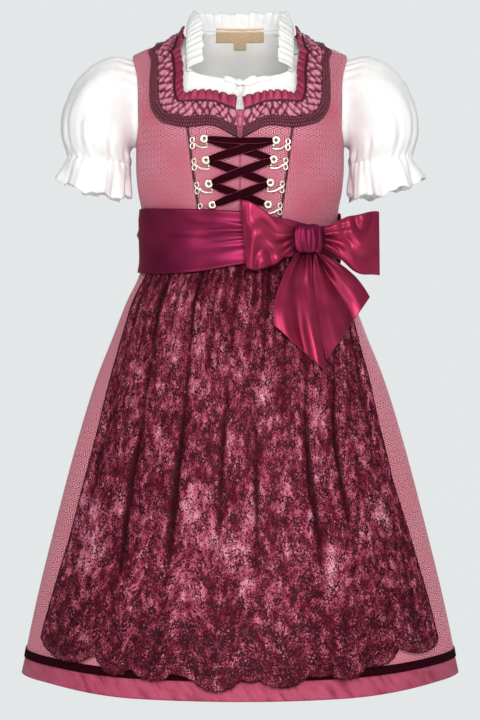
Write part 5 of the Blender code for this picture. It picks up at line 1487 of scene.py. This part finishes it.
def bowTail(name, rows, side, seed):
    table = smoothRows(rows, 90)
    across = np.linspace(0, 1, 61)
    height = np.linspace(1.6, 3.0, 90)[:, None]
    down = np.linspace(0, 1, 90)[:, None]
    lean = across[None] + 0.10 * np.sin(3.0 * down + seed) * np.sin(np.pi * across)[None]
    wave = -2.0 * height * np.sin(2 * np.pi * tail["folds"] * lean) * np.sin(np.pi * across)
    pitDown, pitAcross = tail["pit"][side]
    pit = tail["pitDepth"] * bump(down, pitDown, 0.16) * bump(across[None], pitAcross, 0.10)
    pleat = 2.4 * (1 - down) ** 1.7 * np.sin(2 * np.pi * (3.3 * across + 0.3 * seed)) * np.sin(np.pi * across) ** 0.5
    grid = mix(table[:, None, :3], table[:, None, 3:], across[None, :, None])
    grid[..., 1] += wave + pleat + pit
    inside = across[None] if side < 0 else 1 - across[None]
    grid[..., 1] += tail["turned"][side] * ease((inside - 0.8) / 0.2) * ease(down * 3)
    # painted shade: in the folds' hollows, along the inner edge where it lies under the other tail, and at the top
    # under the knot
    shade = np.clip(0.1 + (wave + pleat + pit) / 9, 0, 0.8) + 0.9 * ease((inside - 0.955) / 0.045)
    shade = np.clip(shade + 0.6 * ease(1 - 5 * down), 0, 1)
    piece = addCloth(name, grid, satin, 0.9, shade=shade)
    outer = grid[:, 0] if side < 0 else grid[:, -1]
    hem = addTubes(name + "_hem", [grid[-1], outer], 0.5, frillSatin, sides=6)
    return wear(piece, "raspberry_satin"), wear(hem, "raspberry_satin")


for side, rows, seed in ((-1, leftTailRows, 1.0), (1, rightTailRows, 2.0)):
    hanging, hem = bowTail("bow_tail_satin_" + sideNames[side], rows, side, seed)
    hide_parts("bow_tail_" + sideNames[side])
print("sash and bow made")


# lacing hooks, velvet lacing and zip

# middles of the hooks' rings: left x, z, right x, z
hookRows = [(-41.0, -143.0, 41.3, -144.8), (-39.0, -167.6, 38.7, -166.8), (-35.9, -194.5, 34.8, -193.3),
            (-31.8, -219.0, 32.2, -218.5)]
hook = {"ring": 3.4, "wire": 1.9, "earWide": 2.4, "earTall": 3.2, "earWire": 0.95}


def hookPiece(name, side, x, z):
    # cast eyelet on a crescent leaf, sewn down through two small wire loops
    a = float(angleOf(x, z))
    centre, normal = onForm(a, z, 0.9), formNormal(a, z)
    sideways = unit(np.cross([0, 0, 1.0], normal))
    upward = np.cross(normal, sideways)
    turn = np.linspace(0, 2 * np.pi, 32, endpoint=False)

    def place(points):
        points = np.asarray(points, float)
        return centre + points[:, :1] * -side * sideways + points[:, 1:2] * upward + points[:, 2:] * normal

    ring = np.stack([hook["ring"] * np.cos(turn), hook["ring"] * np.sin(turn), np.full(32, 1.9)], -1)
    t = np.linspace(0, 1, 24)[:, None]
    corners = np.array([(-11.6, -5.0), (-8.4, -9.6), (-2.2, -11.6), (4.4, -9.4)])
    curve = (1 - t) ** 3 * corners[0] + 3 * (1 - t) ** 2 * t * corners[1] \
        + 3 * (1 - t) * t ** 2 * corners[2] + t ** 3 * corners[3]
    crescent = np.concatenate([curve, np.full((24, 1), 1.1)], 1)
    stalk = np.array([(3.6, -9.2, 1.0), (3.2, -6.4, 1.0), (1.8, -3.4, 1.2)])
    leafWire = 0.75 + 0.75 * np.sin(np.pi * np.linspace(0.08, 0.92, 24))  # thick in the middle of the leaf
    parts = [tubeMesh([place(ring)], hook["wire"], sides=10, away=normal, flatten=0.6, closed=True),
             tubeMesh([place(crescent)], leafWire, sides=8, away=normal, flatten=0.8),
             tubeMesh([place(stalk)], 0.8, sides=8, away=normal, flatten=0.7)]
    for cx, cy in ((-14.2, -1.2), (-14.0, -8.4)):
        loop = np.stack([cx + hook["earWide"] * np.cos(turn[::2]), cy + hook["earTall"] * np.sin(turn[::2]),
                         np.full(16, 0.9)], -1)
        parts.append(tubeMesh([place(loop)], hook["earWire"], sides=7, away=normal, closed=True))
    points, faces, used = [], [], 0
    for partPoints, partFaces in parts:
        points.append(partPoints)
        faces += [[used + k for k in face] for face in partFaces]
        used += len(partPoints)
    return addMesh(name, np.concatenate(points), faces, metal)


for row, (leftX, leftZ, rightX, rightZ) in enumerate(hookRows, 1):
    wear(hookPiece("hook_cast_left_%d" % row, -1, leftX, leftZ), "silver_metal", "hook_left_%d" % row)
    wear(hookPiece("hook_cast_right_%d" % row, 1, rightX, rightZ), "silver_metal", "hook_right_%d" % row)

# the top stretch is turned partly on edge; a stretch is pinched at its ends and keeps clear of the eyelets' middles
lacing = {"width": 8.8, "topWidth": 6.0, "pinch": 0.42, "crown": 0.7, "clear": 4.0}


def lacingStretch(name, start, end, out, rise, full):
    # velvet ribbon between two eyelets, drawn narrow where it passes through them
    steps, columns = 61, 13
    start, end = np.array(start, float), np.array(end, float)
    ahead = unit(end - start)
    start, end = start + ahead * lacing["clear"], end - ahead * lacing["clear"]
    share = np.linspace(0, 1, steps)
    x = mix(start[0], end[0], share)
    z = mix(start[1], end[1], share) + rise * np.sin(np.pi * share)
    across = unit(np.array([-(end[1] - start[1]), end[0] - start[0]]))
    width = full / 2 * (1 - lacing["pinch"] * (1 - np.sin(np.pi * share)) ** 3)
    half = np.linspace(-1, 1, columns)[None]
    px, pz = x[:, None] + half * width[:, None] * across[0], z[:, None] + half * width[:, None] * across[1]
    crown = lacing["crown"] * (1 - half ** 2) + 0.3 * np.sin(9 * share + start[1])[:, None]
    tuck = -1.6 * (1 - np.sin(np.pi * share)) ** 4
    grid = onForm(angleOf(px, pz), pz, out + 0.6 + crown + tuck[:, None])
    piece = addCloth(name, grid, velvet, 0.7, flip=True)
    edges = addTubes(name + "_edges", [grid[:, 0], grid[:, -1]], 0.5, edgeSatin, sides=6)
    return wear(piece, "dark_velvet"), wear(edges, "dark_velvet")


leftEyes = [(x, z) for x, z, _, _ in hookRows]
rightEyes = [(x, z) for _, _, x, z in hookRows]
# node, start, end, distance from the form, rise of the middle
stretches = [("lacing_top", leftEyes[0], rightEyes[0], 5.2, -2.2)]
for row in range(3):
    stretches.append(("lacing_under_%d" % (row + 1), leftEyes[row], rightEyes[row + 1], 2.6, 0))
    stretches.append(("lacing_over_%d" % (row + 1), rightEyes[row], leftEyes[row + 1], 3.9, 0))
for node, start, end, out, rise in stretches:
    full = lacing["topWidth"] if node == "lacing_top" else lacing["width"]
    ribbon, edges = lacingStretch(node.replace("lacing", "lacing_velvet"), start, end, out, rise, full)
    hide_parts(node)

# heights in mm; a coil of 1.5 mm pitch is the usual fine zip
zipSettings = {"slider": -114.5, "hinge": -116.0, "top": -108, "coilTop": -118.5, "coilEnd": -253.0, "coilPitch": 1.5,
               "coilWire": 0.38}
zipFront = -float(formPoint(0, zipSettings["slider"])[1])
levels = np.linspace(zipSettings["top"], -254.7, 60)
xs, zs = np.meshgrid(np.linspace(-5, 5, 9), levels)
tape = wear(addCloth("zip_tape", onForm(angleOf(xs, zs), zs, -2.1), zipTape, 0.45), "zip_tape", "zip_strip")
turns = np.linspace(0, 1, 1000)
coilZ = mix(zipSettings["coilTop"], zipSettings["coilEnd"], turns)
coilTurn = 2 * np.pi * (coilZ / zipSettings["coilPitch"])
coils = []
for side in (-1, 1):
    x = side * 0.75 + 0.75 * np.cos(coilTurn) * side
    base = onForm(angleOf(x, coilZ), coilZ, -1.25 + 0.45 * np.sin(coilTurn))
    coils.append(base)
wear(addTubes("zip_coil", coils, zipSettings["coilWire"], zipRose, sides=5), "rose_zip")


def roundedPlate(outline, depth, hole=None, bevel=0.3):
    # rings of a plate from an outline in x and z, with a softened edge and perhaps a round hole
    count, middle = len(outline), outline.mean(0)
    centre = middle if hole is None else np.array(hole[:2])
    size = 0.05 if hole is None else hole[2]
    start = np.arctan2(*(outline[0] - centre)[::-1])
    way = np.sign(np.cross(outline[0] - centre, outline[1] - centre))
    turn = start + way * np.linspace(0, 2 * np.pi, count, endpoint=False)
    rim = centre + size * np.stack([np.cos(turn), np.sin(turn)], -1)
    layers = [(rim, -depth / 2)]
    for scale, y in ((0.94, -depth / 2), (1.0, bevel - depth / 2), (1.0, depth / 2 - bevel), (0.94, depth / 2)):
        layers.append((middle + (outline - middle) * scale, y))
    layers.append((rim, depth / 2))
    if hole is not None:
        layers.append(layers[0])  # the wall of the hole
    return np.array([np.stack([edge[:, 0], np.full(count, y), edge[:, 1]], -1) for edge, y in layers])


def roundedBox(width, height, count):
    # outline with rounded corners
    turn = np.linspace(0, 2 * np.pi, count, endpoint=False)
    c, s = np.cos(turn), np.sin(turn)
    square = 0.45  # 1 is an ellipse, towards 0 the corners fill up
    return np.stack([width / 2 * np.sign(c) * np.abs(c) ** square, height / 2 * np.sign(s) * np.abs(s) ** square], -1)


def plateMesh(name, rings, shift, material):
    grid = rings + np.asarray(shift, float)
    return addMesh(name, grid.reshape(-1, 3), gridFaces(len(grid), grid.shape[1], True), material)


tabSize = {"width": 4.6, "length": 12.5, "thick": 1.2, "hole": (0, 4.6, 0.9)}  # hole: x, z, radius
body = plateMesh("zip_slider_body", roundedPlate(roundedBox(5.0, 7.0, 40), 2.0, bevel=0.4),
                 (0, -zipFront - 1.25, zipSettings["slider"]), zipRose)
wear(body, "rose_zip", "zip_slider")
tabShape = roundedBox(tabSize["width"], tabSize["length"], 48)
tabShape[:, 0] *= 0.72 + 0.28 * np.clip((tabSize["length"] / 2 - tabShape[:, 1]) / 6, 0, 1)  # narrower at its top
tab = plateMesh("zip_pull_tab", roundedPlate(tabShape, tabSize["thick"], tabSize["hole"]),
                (0, -zipFront - 3.3, zipSettings["hinge"] - tabSize["length"] / 2), zipRose)
wear(tab, "rose_zip", "zip_pull", body="pull_tab")
arch = np.linspace(0, np.pi, 14)
bridge = np.stack([0 * arch, -zipFront - 2.2 - 1.9 * np.sin(arch), zipSettings["hinge"] + 0.6 + 2.2 * np.cos(arch)],
                  -1)
wear(addTubes("zip_slider_bridge", [bridge], 0.5, zipRose, away=(1.0, 0, 0)), "rose_zip")
print("lacing and zip made")
